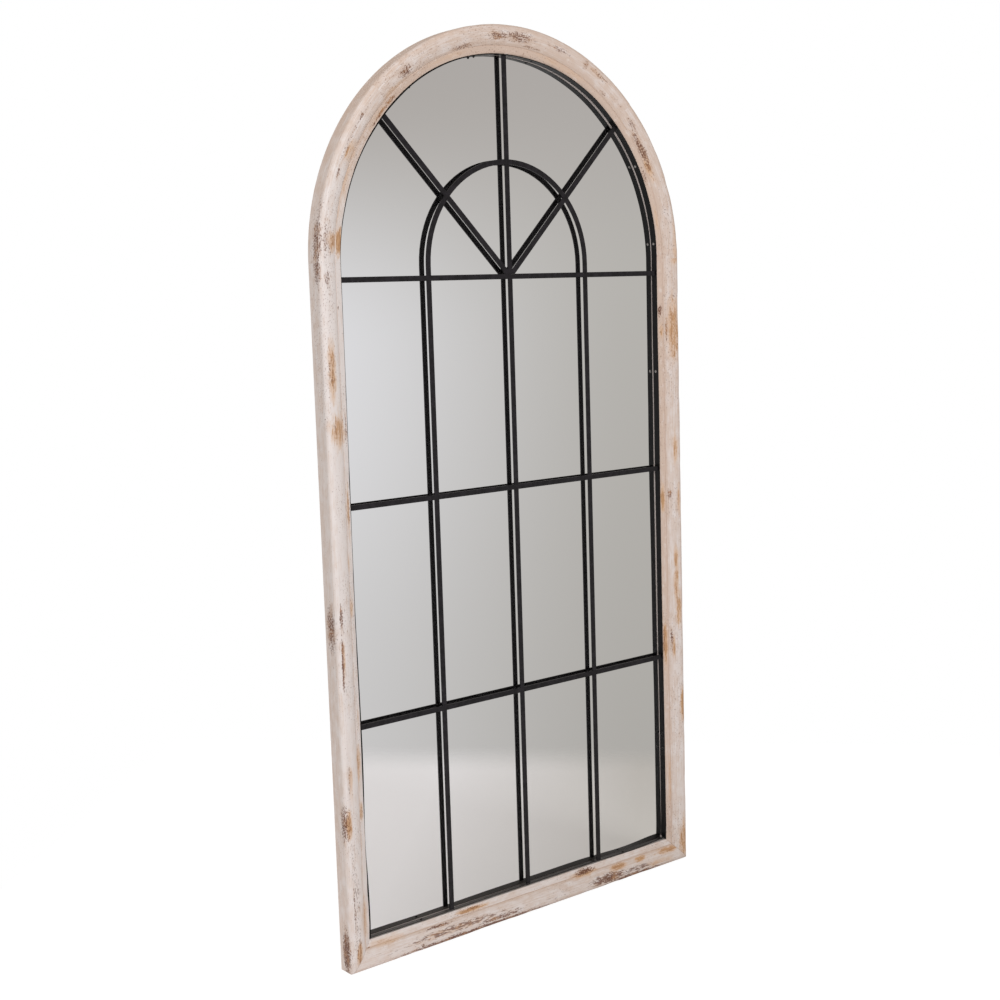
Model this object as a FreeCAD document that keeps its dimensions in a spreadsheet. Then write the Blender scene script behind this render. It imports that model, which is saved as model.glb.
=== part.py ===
import FreeCAD
import Part
import Sketcher
import math
import os

# An arched window mirror: a whitewashed wooden frame with a semicircular head,
# an iron glazing grille set in its opening, one mirror pane behind the grille,
# a back panel and two ring hangers. The back plane of the wood is y = 0, the
# front looks along -Y, and the underside of the bottom rail is z = 0.

driving_sizes = {
    # Outline of the frame
    "overall_width": 900,
    "arch_centre_height": 1342,
    # Moulding, measured inward from the outer edge and forward from the back
    "frame_width": 52,
    "frame_depth": 40,
    "edge_round": 9,
    "face_radius": 55,
    "groove_inset": 38.5,
    "groove_height": 29.6,
    "groove_width": 1.4,
    "groove_drop": 1.4,
    "lip_height": 23,
    # Pane, panel and the two steps of the rebate that hold them
    "pane_overlap": 10,
    "pane_thickness": 3,
    "pane_clearance": 1.5,
    "panel_ledge": 14,
    "panel_thickness": 3,
    "panel_recess": 2.6,
    "panel_clearance": 1,
    # Dowels of the frame joints
    "dowel_diameter": 8,
    "dowel_length": 30,
    "dowel_chamfer": 1,
    "dowel_height": 19,
    "dowel_outer_inset": 15,
    "dowel_inner_inset": 35,
    "mitre_outer_inset": 24,
    "mitre_inner_inset": 38,
    "dowel_end_room": 1,
    # Iron band that lines the opening
    "band_thickness": 1.5,
    "band_depth": 11.2,
    "band_pane_gap": 3,
    "band_wood_gap": 0.2,
    # Iron glazing bars
    "bar_width": 10,
    "bar_thickness": 3,
    "bar_setback": 1.8,
    "bar_end_gap": 0.1,
    "lap_gap": 0.1,
    "spring_bar_drop": 30.5,
    "inner_hoop_radius": 198,
    "inner_hoop_rise": 24,
    "ray_angle": 46,
    # Pins that hold the band
    "pin_head_diameter": 6,
    "pin_head_height": 1.2,
    "pin_shank_diameter": 2.5,
    "pin_length": 18,
    "pin_seat": 0.05,
    # Screws of the back panel
    "screw_head_diameter": 7,
    "screw_head_height": 2,
    "screw_shank_diameter": 3.5,
    "screw_length": 14,
    # Ring hangers
    "hanger_drop": 92,
    "strap_width": 12,
    "strap_length": 42,
    "strap_thickness": 1.5,
    "strap_end_round": 4,
    "strap_screw_drop": 22,
    "strap_screw_spacing": 12,
    "roll_end_angle": 40,
    "ring_wire": 3,
    "ring_play": 0.3,
    "ring_bar": 14,
    "ring_corner": 3,
    "ring_leg": 4,
    # Room shared by all holes, and the overrun of all cuts
    "hole_clearance": 0.1,
    "cut_overrun": 5,
}

row_count = 3
segment_count = 4
stile_screw_shares = (0.1, 0.3, 0.5, 0.7, 0.9)
rail_screw_shares = (-0.38, -0.13, 0.13, 0.38)
segment_screw_shares = (-0.25, 0.25)
sill_pin_shares = (-0.302, 0.302)
haunch_pin_shares = (-0.4, 0.142)
crown_pin_shares = (-0.278, 0.267)
hanger_share = 0.5

doc = FreeCAD.newDocument("arched_window_mirror")
sheet = doc.addObject("Spreadsheet::Sheet", "Sizes")
for row, (alias, number) in enumerate(driving_sizes.items(), start=1):
    sheet.set(f"A{row}", alias)
    sheet.set(f"B{row}", str(number))
    sheet.setAlias(f"B{row}", alias)
doc.recompute()


# A value that carries the sheet expression it is worked out from
class Size:
    def __init__(self, value, text):
        self.value = float(value)
        self.text = text

    def __add__(self, other):
        other = sized(other)
        return Size(self.value + other.value, f"({self.text} + {other.text})")

    def __sub__(self, other):
        other = sized(other)
        return Size(self.value - other.value, f"({self.text} - {other.text})")

    def __mul__(self, other):
        other = sized(other)
        return Size(self.value * other.value, f"({self.text} * {other.text})")

    def __truediv__(self, other):
        other = sized(other)
        return Size(self.value / other.value, f"({self.text} / {other.text})")

    def __neg__(self):
        return Size(-self.value, f"(-1 * {self.text})")

    __rmul__ = __mul__


def sized(value):
    return value if isinstance(value, Size) else Size(value, f"({value})")


def size(alias):
    return Size(sheet.get(alias), f"Sizes.{alias}")


def cosine(angle):
    return Size(math.cos(math.radians(angle.value)), f"cos({angle.text})")


def sine(angle):
    return Size(math.sin(math.radians(angle.value)), f"sin({angle.text})")


nothing = sized(0)
clearance = size("hole_clearance")
overrun = size("cut_overrun")

# Places that several pieces share
arch_radius = size("overall_width") / 2
arch_centre = size("arch_centre_height")
lip_radius = arch_radius - size("frame_width")
pane_wall = size("frame_width") - size("pane_overlap")
panel_wall = pane_wall - size("panel_ledge")
panel_front = size("panel_recess") + size("panel_thickness")
shoulder = panel_front + size("pane_thickness")
band_back = shoulder + size("band_pane_gap")
band_middle = band_back + size("band_depth") / 2
band_outer = lip_radius - size("band_wood_gap")
band_inner = band_outer - size("band_thickness")
sill_bottom = size("frame_width") + size("band_wood_gap")
sill_top = sill_bottom + size("band_thickness")
bar_front = band_back + size("band_depth") - size("bar_setback")
bar_back = bar_front - size("bar_thickness")
half_bar = size("bar_width") / 2
half_lap = half_bar + size("lap_gap")
lap_depth = size("bar_thickness") / 2 + size("lap_gap") / 2
bar_reach = band_inner - size("bar_end_gap")
bar_foot = sill_top + size("bar_end_gap")
spring_height = arch_centre - size("spring_bar_drop")
row_pitch = (spring_height - size("frame_width")) / row_count
bar_heights = [spring_height - row_pitch * row for row in range(row_count)]
pin_heights = [height - row_pitch / 2 for height in bar_heights]
hoop_centre = spring_height + size("inner_hoop_rise")
hoop_outer = size("inner_hoop_radius") + half_bar
hoop_inner = size("inner_hoop_radius") - half_bar
screw_inset = panel_wall + size("panel_ledge") / 2
screw_radius = arch_radius - screw_inset
screw_hole = size("screw_shank_diameter") / 2 + clearance
screw_reach = size("panel_recess") + size("screw_length") + size("dowel_end_room")
pin_hole = size("pin_shank_diameter") / 2 + clearance
pin_bite = size("pin_length") - size("band_thickness")
dowel_hole = size("dowel_diameter") / 2 + clearance
dowel_bite = size("dowel_length") / 2 + size("dowel_end_room")
segment_angle = sized(180 / segment_count)
hanger_inset = panel_wall * hanger_share
hanger_height = arch_centre - size("hanger_drop")
ring_radius = size("ring_wire") / 2
roll_radius = ring_radius + size("ring_play")
roll_outer = roll_radius + size("strap_thickness")
strap_screw_drops = [size("strap_screw_drop"), size("strap_screw_drop") + size("strap_screw_spacing")]


# Sketch helpers: every corner, centre and radius is a constraint bound to the sheet
def new_body(name):
    body = doc.addObject("PartDesign::Body", name)
    body.Label = name
    return body


def new_sketch(body, name, role, base=(nothing, nothing, nothing), turn=None):
    sketch = body.newObject("Sketcher::SketchObject", f"{body.Name}_{name}")
    plane = next(item for item in body.Origin.OriginFeatures if item.Role == role)
    sketch.AttachmentSupport = [(plane, "")]
    sketch.MapMode = "FlatFace"
    offset = FreeCAD.Vector(*[item.value for item in base])
    sketch.AttachmentOffset = FreeCAD.Placement(offset, turn or FreeCAD.Rotation())
    for letter, item in zip("xyz", base):
        sketch.setExpression(f"AttachmentOffset.Base.{letter}", item.text)
    return sketch


def bind_constraint(sketch, kind, *targets):
    *geometry, amount = targets
    number = sketch.addConstraint(Sketcher.Constraint(kind, *geometry, amount.value))
    sketch.renameConstraint(number, f"size{number}")
    sketch.setExpression(f"Constraints.size{number}", amount.text)


def fix_point(sketch, edge, point, x, y):
    bind_constraint(sketch, "DistanceX", -1, 1, edge, point, x)
    bind_constraint(sketch, "DistanceY", -1, 1, edge, point, y)


# An arc edge about a centre, turning 1 for anticlockwise or -1 for clockwise
def arc_edge(sketch, start, stop, centre, turn):
    middle = FreeCAD.Vector(centre[0].value, centre[1].value, 0)
    ends = [start, stop] if turn > 0 else [stop, start]
    spokes = [FreeCAD.Vector(x.value, y.value, 0) - middle for x, y in ends]
    first, last = [math.atan2(spoke.y, spoke.x) for spoke in spokes]
    if last <= first:
        last += 2 * math.pi
    circle = Part.Circle(middle, FreeCAD.Vector(0, 0, 1), spokes[0].Length)
    edge = sketch.addGeometry(Part.ArcOfCircle(circle, first, last))
    return (edge, 1, 2) if turn > 0 else (edge, 2, 1)


# The centre of an arc of a given radius from start to stop, less than half a circle
def radius_centre(start, stop, radius, turn):
    first = FreeCAD.Vector(start[0].value, start[1].value, 0)
    last = FreeCAD.Vector(stop[0].value, stop[1].value, 0)
    chord = last - first
    left = FreeCAD.Vector(-chord.y, chord.x, 0).normalize()
    rise = math.sqrt(radius.value ** 2 - (chord.Length / 2) ** 2)
    centre = first + chord / 2 + left * rise * turn
    return sized(centre.x), sized(centre.y)


# A closed outline; arcs maps an edge's number to (centre, turn) or (radius, turn)
def outline(sketch, corners, arcs=None):
    arcs = arcs or {}
    stops = corners[1:] + corners[:1]
    edges = []
    for index, (start, stop) in enumerate(zip(corners, stops)):
        if index in arcs:
            about, turn = arcs[index]
            round_one = isinstance(about, Size)
            centre = radius_centre(start, stop, about, turn) if round_one else about
            edges.append(arc_edge(sketch, start, stop, centre, turn))
        else:
            line = [FreeCAD.Vector(x.value, y.value, 0) for x, y in (start, stop)]
            edges.append((sketch.addGeometry(Part.LineSegment(*line)), 1, 2))
    for (edge, _, last), (following, first, _) in zip(edges, edges[1:] + edges[:1]):
        sketch.addConstraint(Sketcher.Constraint("Coincident", edge, last, following, first))
    for (edge, first, _), corner in zip(edges, corners):
        fix_point(sketch, edge, first, *corner)
    for index, (about, _) in arcs.items():
        edge = edges[index][0]
        if isinstance(about, Size):
            bind_constraint(sketch, "Radius", edge, about)
            continue
        run = abs(stops[index][0].value - corners[index][0].value)
        climb = abs(stops[index][1].value - corners[index][1].value)
        kind, amount = ("DistanceY", about[1]) if run > climb else ("DistanceX", about[0])
        bind_constraint(sketch, kind, -1, 1, edge, 3, amount)


def rectangle(sketch, left, right, bottom, top):
    outline(sketch, [(left, bottom), (right, bottom), (right, top), (left, top)])


def circle(sketch, x, y, radius):
    centre = FreeCAD.Vector(x.value, y.value, 0)
    edge = sketch.addGeometry(Part.Circle(centre, FreeCAD.Vector(0, 0, 1), radius.value))
    fix_point(sketch, edge, 3, x, y)
    bind_constraint(sketch, "Radius", edge, radius)


# The space between two upside-down U shapes, or half rings if they have no legs
def hoop(sketch, outer, inner, centre, foot):
    corners = [(-outer, foot), (-outer, centre), (outer, centre), (outer, foot)]
    corners += [(inner, foot), (inner, centre), (-inner, centre), (-inner, foot)]
    middle = (nothing, centre)
    outline(sketch, corners, {1: (middle, -1), 5: (middle, 1)})


def half_ring(sketch, outer, inner, centre):
    corners = [(-outer, centre), (outer, centre), (inner, centre), (-inner, centre)]
    middle = (nothing, centre)
    outline(sketch, corners, {0: (middle, -1), 2: (middle, 1)})


def bind(feature, prop, amount):
    setattr(feature, prop, amount.value)
    feature.setExpression(prop, amount.text)


def pad(body, sketch, length):
    feature = body.newObject("PartDesign::Pad", f"{sketch.Name}_pad")
    feature.Profile = sketch
    bind(feature, "Length", length)
    return feature


# A cut goes against the sketch's normal, or along it when forward is true
def pocket(body, sketch, length=None, forward=False):
    feature = body.newObject("PartDesign::Pocket", f"{sketch.Name}_pocket")
    feature.Profile = sketch
    feature.Reversed = forward
    if length is None:
        feature.Type = "ThroughAll"
    else:
        bind(feature, "Length", length)
    return feature


def revolve(body, sketch, angle, both_ways=False):
    feature = body.newObject("PartDesign::Revolution", f"{sketch.Name}_revolution")
    feature.Profile = sketch
    feature.ReferenceAxis = (sketch, ["V_Axis"])
    feature.Midplane = both_ways
    bind(feature, "Angle", angle)
    return feature


def about_y(degrees):
    return FreeCAD.Rotation(FreeCAD.Vector(0, 1, 0), degrees)


def move(body, x, y, z):
    body.Placement.Base = FreeCAD.Vector(x.value, y.value, z.value)
    for letter, amount in zip("xyz", (x, y, z)):
        body.setExpression(f"Placement.Base.{letter}", amount.text)


# Section of the wooden moulding: place(inset, height) puts each point in the sketch
def moulding(sketch, place, flipped):
    depth = size("frame_depth")
    rounding = size("edge_round")
    groove = size("groove_inset")
    valley = size("groove_height") - size("groove_drop")
    corners = [
        (nothing, nothing),
        (nothing, depth - rounding),
        (rounding, depth),
        (groove, size("groove_height")),
        (groove + size("groove_width") / 2, valley),
        (groove + size("groove_width"), valley + size("groove_drop") / 2),
        (size("frame_width"), size("lip_height")),
        (size("frame_width"), shoulder),
        (pane_wall, shoulder),
        (pane_wall, panel_front),
        (panel_wall, panel_front),
        (panel_wall, nothing),
    ]
    points = [place(inset, height) for inset, height in corners]
    turn = 1 if flipped else -1
    round_centre = place(rounding, depth - rounding)
    outline(sketch, points, {1: (round_centre, turn), 2: (size("face_radius"), turn)})


# Straight members of the frame
def mitre_sketch(body, side, name):
    turn = about_y(225 if side > 0 else -45)
    sketch = new_sketch(body, name, "XY_Plane", (side * arch_radius, nothing, nothing), turn)
    for inset in (size("mitre_outer_inset"), size("mitre_inner_inset")):
        circle(sketch, inset * math.sqrt(2), -size("dowel_height"), dowel_hole)
    return sketch


def stile(name, side):
    body = new_body(name)
    section = new_sketch(body, "section", "XY_Plane")
    moulding(section, lambda inset, height: (side * (arch_radius - inset), -height), side < 0)
    pad(body, section, arch_centre)
    mitre = new_sketch(body, "mitre", "XZ_Plane", (nothing, nothing, -overrun))
    cut = size("frame_width") + overrun
    corner = (side * arch_radius, nothing)
    outline(mitre, [corner, (side * (arch_radius - cut), nothing), (side * (arch_radius - cut), cut)])
    pocket(body, mitre, size("frame_depth") + overrun * 2, forward=True)
    pocket(body, mitre_sketch(body, side, "mitre_holes"), dowel_bite, forward=side < 0)
    top = new_sketch(body, "top_holes", "XY_Plane", (nothing, nothing, arch_centre))
    for inset in (size("dowel_outer_inset"), size("dowel_inner_inset")):
        circle(top, side * (arch_radius - inset), -size("dowel_height"), dowel_hole)
    pocket(body, top, dowel_bite)
    back = new_sketch(body, "screw_holes", "XZ_Plane")
    for share in stile_screw_shares:
        circle(back, side * screw_radius, arch_centre * share, screw_hole)
    for drop in strap_screw_drops:
        circle(back, side * (arch_radius - hanger_inset), hanger_height - drop, screw_hole)
    pocket(body, back, screw_reach, forward=True)
    pins = new_sketch(body, "pin_holes", "YZ_Plane", (nothing, nothing, side * lip_radius))
    for height in pin_heights:
        circle(pins, -band_middle, height, pin_hole)
    pocket(body, pins, pin_bite, forward=side > 0)
    return body


def rail(name):
    body = new_body(name)
    section = new_sketch(body, "section", "YZ_Plane", (nothing, nothing, -arch_radius))
    moulding(section, lambda inset, height: (-height, inset), False)
    pad(body, section, size("overall_width"))
    cut = size("frame_width") + overrun
    for side, word in ((1, "right"), (-1, "left")):
        mitre = new_sketch(body, f"{word}_mitre", "XZ_Plane", (nothing, nothing, -overrun))
        corner = (side * arch_radius, nothing)
        outline(mitre, [corner, (side * arch_radius, cut), (side * (arch_radius - cut), cut)])
        pocket(body, mitre, size("frame_depth") + overrun * 2, forward=True)
        pocket(body, mitre_sketch(body, side, f"{word}_holes"), dowel_bite, forward=side > 0)
    back = new_sketch(body, "screw_holes", "XZ_Plane")
    for share in rail_screw_shares:
        circle(back, size("overall_width") * share, screw_inset, screw_hole)
    pocket(body, back, screw_reach, forward=True)
    pins = new_sketch(body, "pin_holes", "XY_Plane", (nothing, nothing, size("frame_width")))
    for share in sill_pin_shares:
        circle(pins, size("overall_width") * share, -band_middle, pin_hole)
    pocket(body, pins, pin_bite)
    return body


# Where the pins go in a segment of the arched head: the left half mirrors the right half
def segment_pin_shares(number):
    shares = (haunch_pin_shares, crown_pin_shares, crown_pin_shares, haunch_pin_shares)[number]
    return shares if number < segment_count / 2 else tuple(-share for share in shares)


# One segment of the arched head, made about its own middle and then turned to its place
def arch_segment(name, number):
    body = new_body(name)
    section = new_sketch(body, "section", "XY_Plane")
    moulding(section, lambda inset, height: (arch_radius - inset, -height), False)
    revolve(body, section, segment_angle, both_ways=True)
    for side, word in ((1, "upper"), (-1, "lower")):
        turn = about_y(-side * segment_angle.value / 2)
        end = new_sketch(body, f"{word}_holes", "XY_Plane", turn=turn)
        for inset in (size("dowel_outer_inset"), size("dowel_inner_inset")):
            circle(end, arch_radius - inset, -size("dowel_height"), dowel_hole)
        pocket(body, end, dowel_bite, forward=side < 0)
    back = new_sketch(body, "screw_holes", "XZ_Plane")
    for share in segment_screw_shares:
        angle = segment_angle * share
        circle(back, screw_radius * cosine(angle), screw_radius * sine(angle), screw_hole)
    pocket(body, back, screw_reach, forward=True)
    start = lip_radius - overrun
    for order, share in enumerate(segment_pin_shares(number)):
        angle = segment_angle * share
        turn = FreeCAD.Rotation(FreeCAD.Vector(1, 0, 0), -angle.value)
        base = (nothing, start * sine(angle), start * cosine(angle))
        pin = new_sketch(body, f"pin_hole{order}", "YZ_Plane", base, turn)
        circle(pin, -band_middle, nothing, pin_hole)
        pocket(body, pin, pin_bite + overrun, forward=True)
    body.Placement = FreeCAD.Placement(FreeCAD.Vector(), about_y(-segment_angle.value * (number + 0.5)))
    move(body, nothing, nothing, arch_centre)
    return body


# Flat plates with the arched outline, from a back height to a front height
def arched_plate(name, half_width, foot, back, thickness):
    body = new_body(name)
    face = new_sketch(body, "face", "XZ_Plane", (nothing, nothing, back))
    corners = [(-half_width, foot), (half_width, foot)]
    corners += [(half_width, arch_centre), (-half_width, arch_centre)]
    outline(face, corners, {2: ((nothing, arch_centre), 1)})
    pad(body, face, thickness)
    return body


def mirror_pane():
    half_width = arch_radius - pane_wall - size("pane_clearance")
    return arched_plate("mirror_pane", half_width, pane_wall, panel_front, size("pane_thickness"))


# Where the panel's screws go, as (x, z) pairs
def panel_screw_places():
    places = []
    for side in (-1, 1):
        places += [(side * screw_radius, arch_centre * share) for share in stile_screw_shares]
    places += [(size("overall_width") * share, screw_inset) for share in rail_screw_shares]
    for number in range(segment_count):
        for share in segment_screw_shares:
            angle = segment_angle * (number + 0.5 + share)
            places.append((screw_radius * cosine(angle), arch_centre + screw_radius * sine(angle)))
    return places


def back_panel():
    half_width = arch_radius - panel_wall - size("panel_clearance")
    thickness = size("panel_thickness")
    body = arched_plate("back_panel", half_width, panel_wall, size("panel_recess"), thickness)
    holes = new_sketch(body, "holes", "XZ_Plane", (nothing, nothing, size("panel_recess")))
    for x, z in panel_screw_places():
        circle(holes, x, z, screw_hole)
    pocket(body, holes, thickness, forward=True)
    return body


def head_pin_angles():
    angles = []
    for number in range(segment_count):
        angles += [segment_angle * (number + 0.5 + share) for share in segment_pin_shares(number)]
    return angles


# Iron band round the opening: a hoop and the sill strip between its feet
def hoop_band():
    body = new_body("hoop_band")
    face = new_sketch(body, "face", "XZ_Plane", (nothing, nothing, band_back))
    hoop(face, band_outer, band_inner, arch_centre, sill_bottom)
    pad(body, face, size("band_depth"))
    legs = new_sketch(body, "leg_holes", "YZ_Plane", (nothing, nothing, arch_radius))
    for height in pin_heights:
        circle(legs, -band_middle, height, pin_hole)
    pocket(body, legs)
    for order, angle in enumerate(head_pin_angles()):
        turn = FreeCAD.Rotation(FreeCAD.Vector(1, 0, 0), -angle.value)
        base = (nothing, arch_centre + arch_radius * sine(angle), arch_radius * cosine(angle))
        head = new_sketch(body, f"head_hole{order}", "YZ_Plane", base, turn)
        circle(head, -band_middle, nothing, pin_hole)
        pocket(body, head, arch_radius - band_inner + overrun)
    return body


def sill_band():
    body = new_body("sill_band")
    face = new_sketch(body, "face", "XZ_Plane", (nothing, nothing, band_back))
    rectangle(face, -bar_reach, bar_reach, sill_bottom, sill_top)
    pad(body, face, size("band_depth"))
    holes = new_sketch(body, "holes", "XY_Plane", (nothing, nothing, sill_top))
    for share in sill_pin_shares:
        circle(holes, size("overall_width") * share, -band_middle, pin_hole)
    pocket(body, holes, size("band_thickness"))
    return body


# Glazing bars, halved into each other where they cross
def bar_sketch(body, name, height, turn=None, base=(nothing, nothing)):
    return new_sketch(body, name, "XZ_Plane", (*base, height), turn)


def cut_front(body, sketch):
    pocket(body, sketch, lap_depth)


def cut_back(body, sketch):
    pocket(body, sketch, lap_depth, forward=True)


def cross_bar(name, height):
    body = new_body(name)
    face = bar_sketch(body, "face", bar_back)
    rectangle(face, -bar_reach, bar_reach, height - half_bar, height + half_bar)
    pad(body, face, size("bar_thickness"))
    laps = bar_sketch(body, "laps", bar_back)
    for x in (-size("inner_hoop_radius"), nothing, size("inner_hoop_radius")):
        rectangle(laps, x - half_lap, x + half_lap, height - half_bar - overrun, height + half_bar + overrun)
    cut_back(body, laps)
    return body


def cross_bar_laps(body, reach):
    laps = bar_sketch(body, "cross_laps", bar_front)
    for height in bar_heights:
        rectangle(laps, -reach, reach, height - half_lap, height + half_lap)
    cut_front(body, laps)


def hoop_lap(body):
    lap = bar_sketch(body, "hoop_lap", bar_front)
    half_ring(lap, hoop_outer + size("lap_gap"), hoop_inner - size("lap_gap"), hoop_centre)
    cut_front(body, lap)


# Cuts a bar's outer end to the curve of the band
def trim_to_band(body):
    trim = bar_sketch(body, "band_trim", bar_back)
    half_ring(trim, arch_radius, bar_reach, arch_centre)
    pocket(body, trim, size("bar_thickness"), forward=True)


def centre_bar():
    body = new_body("centre_bar")
    face = bar_sketch(body, "face", bar_back)
    rectangle(face, -half_bar, half_bar, bar_foot, arch_centre + lip_radius)
    pad(body, face, size("bar_thickness"))
    trim_to_band(body)
    cross_bar_laps(body, half_bar + overrun)
    hoop_lap(body)
    return body


def ray_turn(side):
    angle = size("ray_angle").value
    return FreeCAD.Rotation(FreeCAD.Vector(0, 0, 1), angle if side > 0 else 180 - angle)


def inner_hoop():
    body = new_body("inner_hoop")
    face = bar_sketch(body, "face", bar_back)
    hoop(face, hoop_outer, hoop_inner, hoop_centre, bar_foot)
    pad(body, face, size("bar_thickness"))
    cross_bar_laps(body, hoop_outer + overrun)
    crown = bar_sketch(body, "crown_lap", bar_back)
    rectangle(crown, -half_lap, half_lap, hoop_centre, hoop_centre + hoop_outer + overrun)
    cut_back(body, crown)
    for side, word in ((1, "right"), (-1, "left")):
        lap = bar_sketch(body, f"{word}_lap", bar_back, ray_turn(side), (nothing, spring_height))
        rectangle(lap, hoop_inner / 2, hoop_outer + lip_radius / 2, -half_lap, half_lap)
        cut_back(body, lap)
    return body


# A ray runs from the hub, where it is cut to a point, out to the band
def ray(name, side):
    body = new_body(name)
    face = bar_sketch(body, "face", bar_back, ray_turn(side), (nothing, spring_height))
    rectangle(face, nothing, arch_radius, -half_bar, half_bar)
    pad(body, face, size("bar_thickness"))
    trim_to_band(body)
    hub = bar_sketch(body, "hub_trim", bar_back)
    reach = size("bar_width") * 2
    edge = half_bar + size("bar_end_gap")
    corners = [(-side * edge, spring_height - reach), (side * reach, spring_height - reach)]
    corners += [(side * reach, spring_height + edge), (side * edge, spring_height + edge)]
    corners += [(side * edge, spring_height + reach), (-side * edge, spring_height + reach)]
    outline(hub, corners)
    pocket(body, hub, size("bar_thickness"), forward=True)
    hoop_lap(body)
    return body


# Ring hanger: a strap rolled round the straight bar of a wire ring
def hanger_strap(name, side):
    body = new_body(name)
    width = size("strap_width")
    profile = new_sketch(body, "profile", "YZ_Plane", (nothing, nothing, -width / 2))
    tail = -size("roll_end_angle")
    corners = [
        (-roll_outer, -size("strap_length")),
        (-roll_radius, -size("strap_length")),
        (-roll_radius, nothing),
        (roll_radius * cosine(tail), roll_radius * sine(tail)),
        (roll_outer * cosine(tail), roll_outer * sine(tail)),
        (-roll_outer, nothing),
    ]
    middle = (nothing, nothing)
    outline(profile, corners, {2: (middle, -1), 4: (middle, 1)})
    pad(body, profile, width)
    holes = new_sketch(body, "holes", "XZ_Plane", (nothing, nothing, roll_radius - overrun))
    for drop in strap_screw_drops:
        circle(holes, nothing, -drop, screw_hole)
    strip = pocket(body, holes, size("strap_thickness") + overrun * 2, forward=True)
    doc.recompute()
    rounds = body.newObject("PartDesign::Fillet", f"{name}_end_rounds")
    rounds.Base = (strip, end_edges(strip.Shape, -size("strap_length").value))
    bind(rounds, "Radius", size("strap_end_round"))
    move(body, side * (arch_radius - hanger_inset), roll_outer, hanger_height)
    return body


# The names of the short edges through the strip at its lower end
def end_edges(shape, foot):
    names = []
    for number, edge in enumerate(shape.Edges, start=1):
        box = edge.BoundBox
        level = abs(box.ZMax - foot) < Part.Precision.approximation() + box.ZLength
        if level and box.XLength < box.YLength and box.ZLength < box.YLength:
            names.append(f"Edge{number}")
    return names


def hanger_ring(name, side):
    body = new_body(name)
    half = size("ring_bar") / 2
    corner = size("ring_corner")
    drop = corner + size("ring_leg")
    reach = half + corner
    path = new_sketch(body, "path", "XZ_Plane")
    corners = [(nothing, nothing), (half, nothing), (reach, -corner), (reach, -drop)]
    corners += [(-reach, -drop), (-reach, -corner), (-half, nothing)]
    arcs = {1: ((half, -corner), -1), 3: ((nothing, -drop), -1), 5: ((-half, -corner), -1)}
    outline(path, corners, arcs)
    wire = new_sketch(body, "wire", "YZ_Plane")
    circle(wire, nothing, nothing, ring_radius)
    pipe = body.newObject("PartDesign::AdditivePipe", f"{name}_pipe")
    pipe.Profile = wire
    pipe.Spine = path
    move(body, side * (arch_radius - hanger_inset), roll_outer, hanger_height)
    return body


# Fasteners: one is turned about its own axis, and copies stand at each place
def turned_piece(name, corners, arcs=None):
    body = new_body(name)
    profile = new_sketch(body, "profile", "XZ_Plane")
    outline(profile, corners, arcs)
    revolve(body, profile, sized(360))
    return body


# A domed head above z = 0 on a shank that runs down from it
def headed_piece(name, head, height, shank, length):
    dome = (head * head / 4 + height * height) / (height * 2)
    corners = [(nothing, -length), (shank / 2, -length), (shank / 2, nothing)]
    corners += [(head / 2, nothing), (nothing, height)]
    return turned_piece(name, corners, {3: ((nothing, height - dome), 1)})


def dowel_pattern():
    radius = size("dowel_diameter") / 2
    half = size("dowel_length") / 2
    bevel = size("dowel_chamfer")
    corners = [(nothing, -half), (radius - bevel, -half), (radius, bevel - half)]
    corners += [(radius, half - bevel), (radius - bevel, half), (nothing, half)]
    return turned_piece("dowel_pattern", corners)


def group(name, pattern, places):
    copies = []
    for place, direction in places:
        copy = pattern.Shape.copy()
        turn = FreeCAD.Rotation(FreeCAD.Vector(0, 0, 1), direction)
        copy.Placement = FreeCAD.Placement(place, turn)
        copies.append(copy)
    feature = doc.addObject("Part::Feature", name)
    feature.Label = name
    feature.Shape = Part.Compound(copies)
    feature.Placement = FreeCAD.Placement()
    return feature


def spot(x, y, z):
    return FreeCAD.Vector(x.value, y.value, z.value)


def dowel_places():
    places = []
    for number in range(segment_count + 1):
        angle = segment_angle * number
        along = spot(-sine(angle), nothing, cosine(angle))
        for inset in (size("dowel_outer_inset"), size("dowel_inner_inset")):
            radius = arch_radius - inset
            height = arch_centre + radius * sine(angle)
            places.append((spot(radius * cosine(angle), -size("dowel_height"), height), along))
    for side in (-1, 1):
        for inset in (size("mitre_outer_inset"), size("mitre_inner_inset")):
            place = spot(side * (arch_radius - inset), -size("dowel_height"), inset)
            places.append((place, FreeCAD.Vector(side, 0, 1)))
    return places


# Each pin's head sits on the inner face of the band and its shank runs outward
def pin_places():
    places = []
    face = band_inner - size("pin_seat")
    for side in (-1, 1):
        for height in pin_heights:
            places.append((spot(side * face, -band_middle, height), FreeCAD.Vector(-side, 0, 0)))
    for angle in head_pin_angles():
        outward = spot(cosine(angle), nothing, sine(angle))
        place = spot(face * cosine(angle), -band_middle, arch_centre + face * sine(angle))
        places.append((place, -outward))
    for share in sill_pin_shares:
        place = spot(size("overall_width") * share, -band_middle, sill_top + size("pin_seat"))
        places.append((place, FreeCAD.Vector(0, 0, 1)))
    return places


def back_places(pairs, y):
    return [(spot(x, y, z), FreeCAD.Vector(0, 1, 0)) for x, z in pairs]


def hanger_screw_places():
    pairs = []
    for side in (-1, 1):
        for drop in strap_screw_drops:
            pairs.append((side * (arch_radius - hanger_inset), hanger_height - drop))
    return back_places(pairs, size("strap_thickness"))


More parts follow.
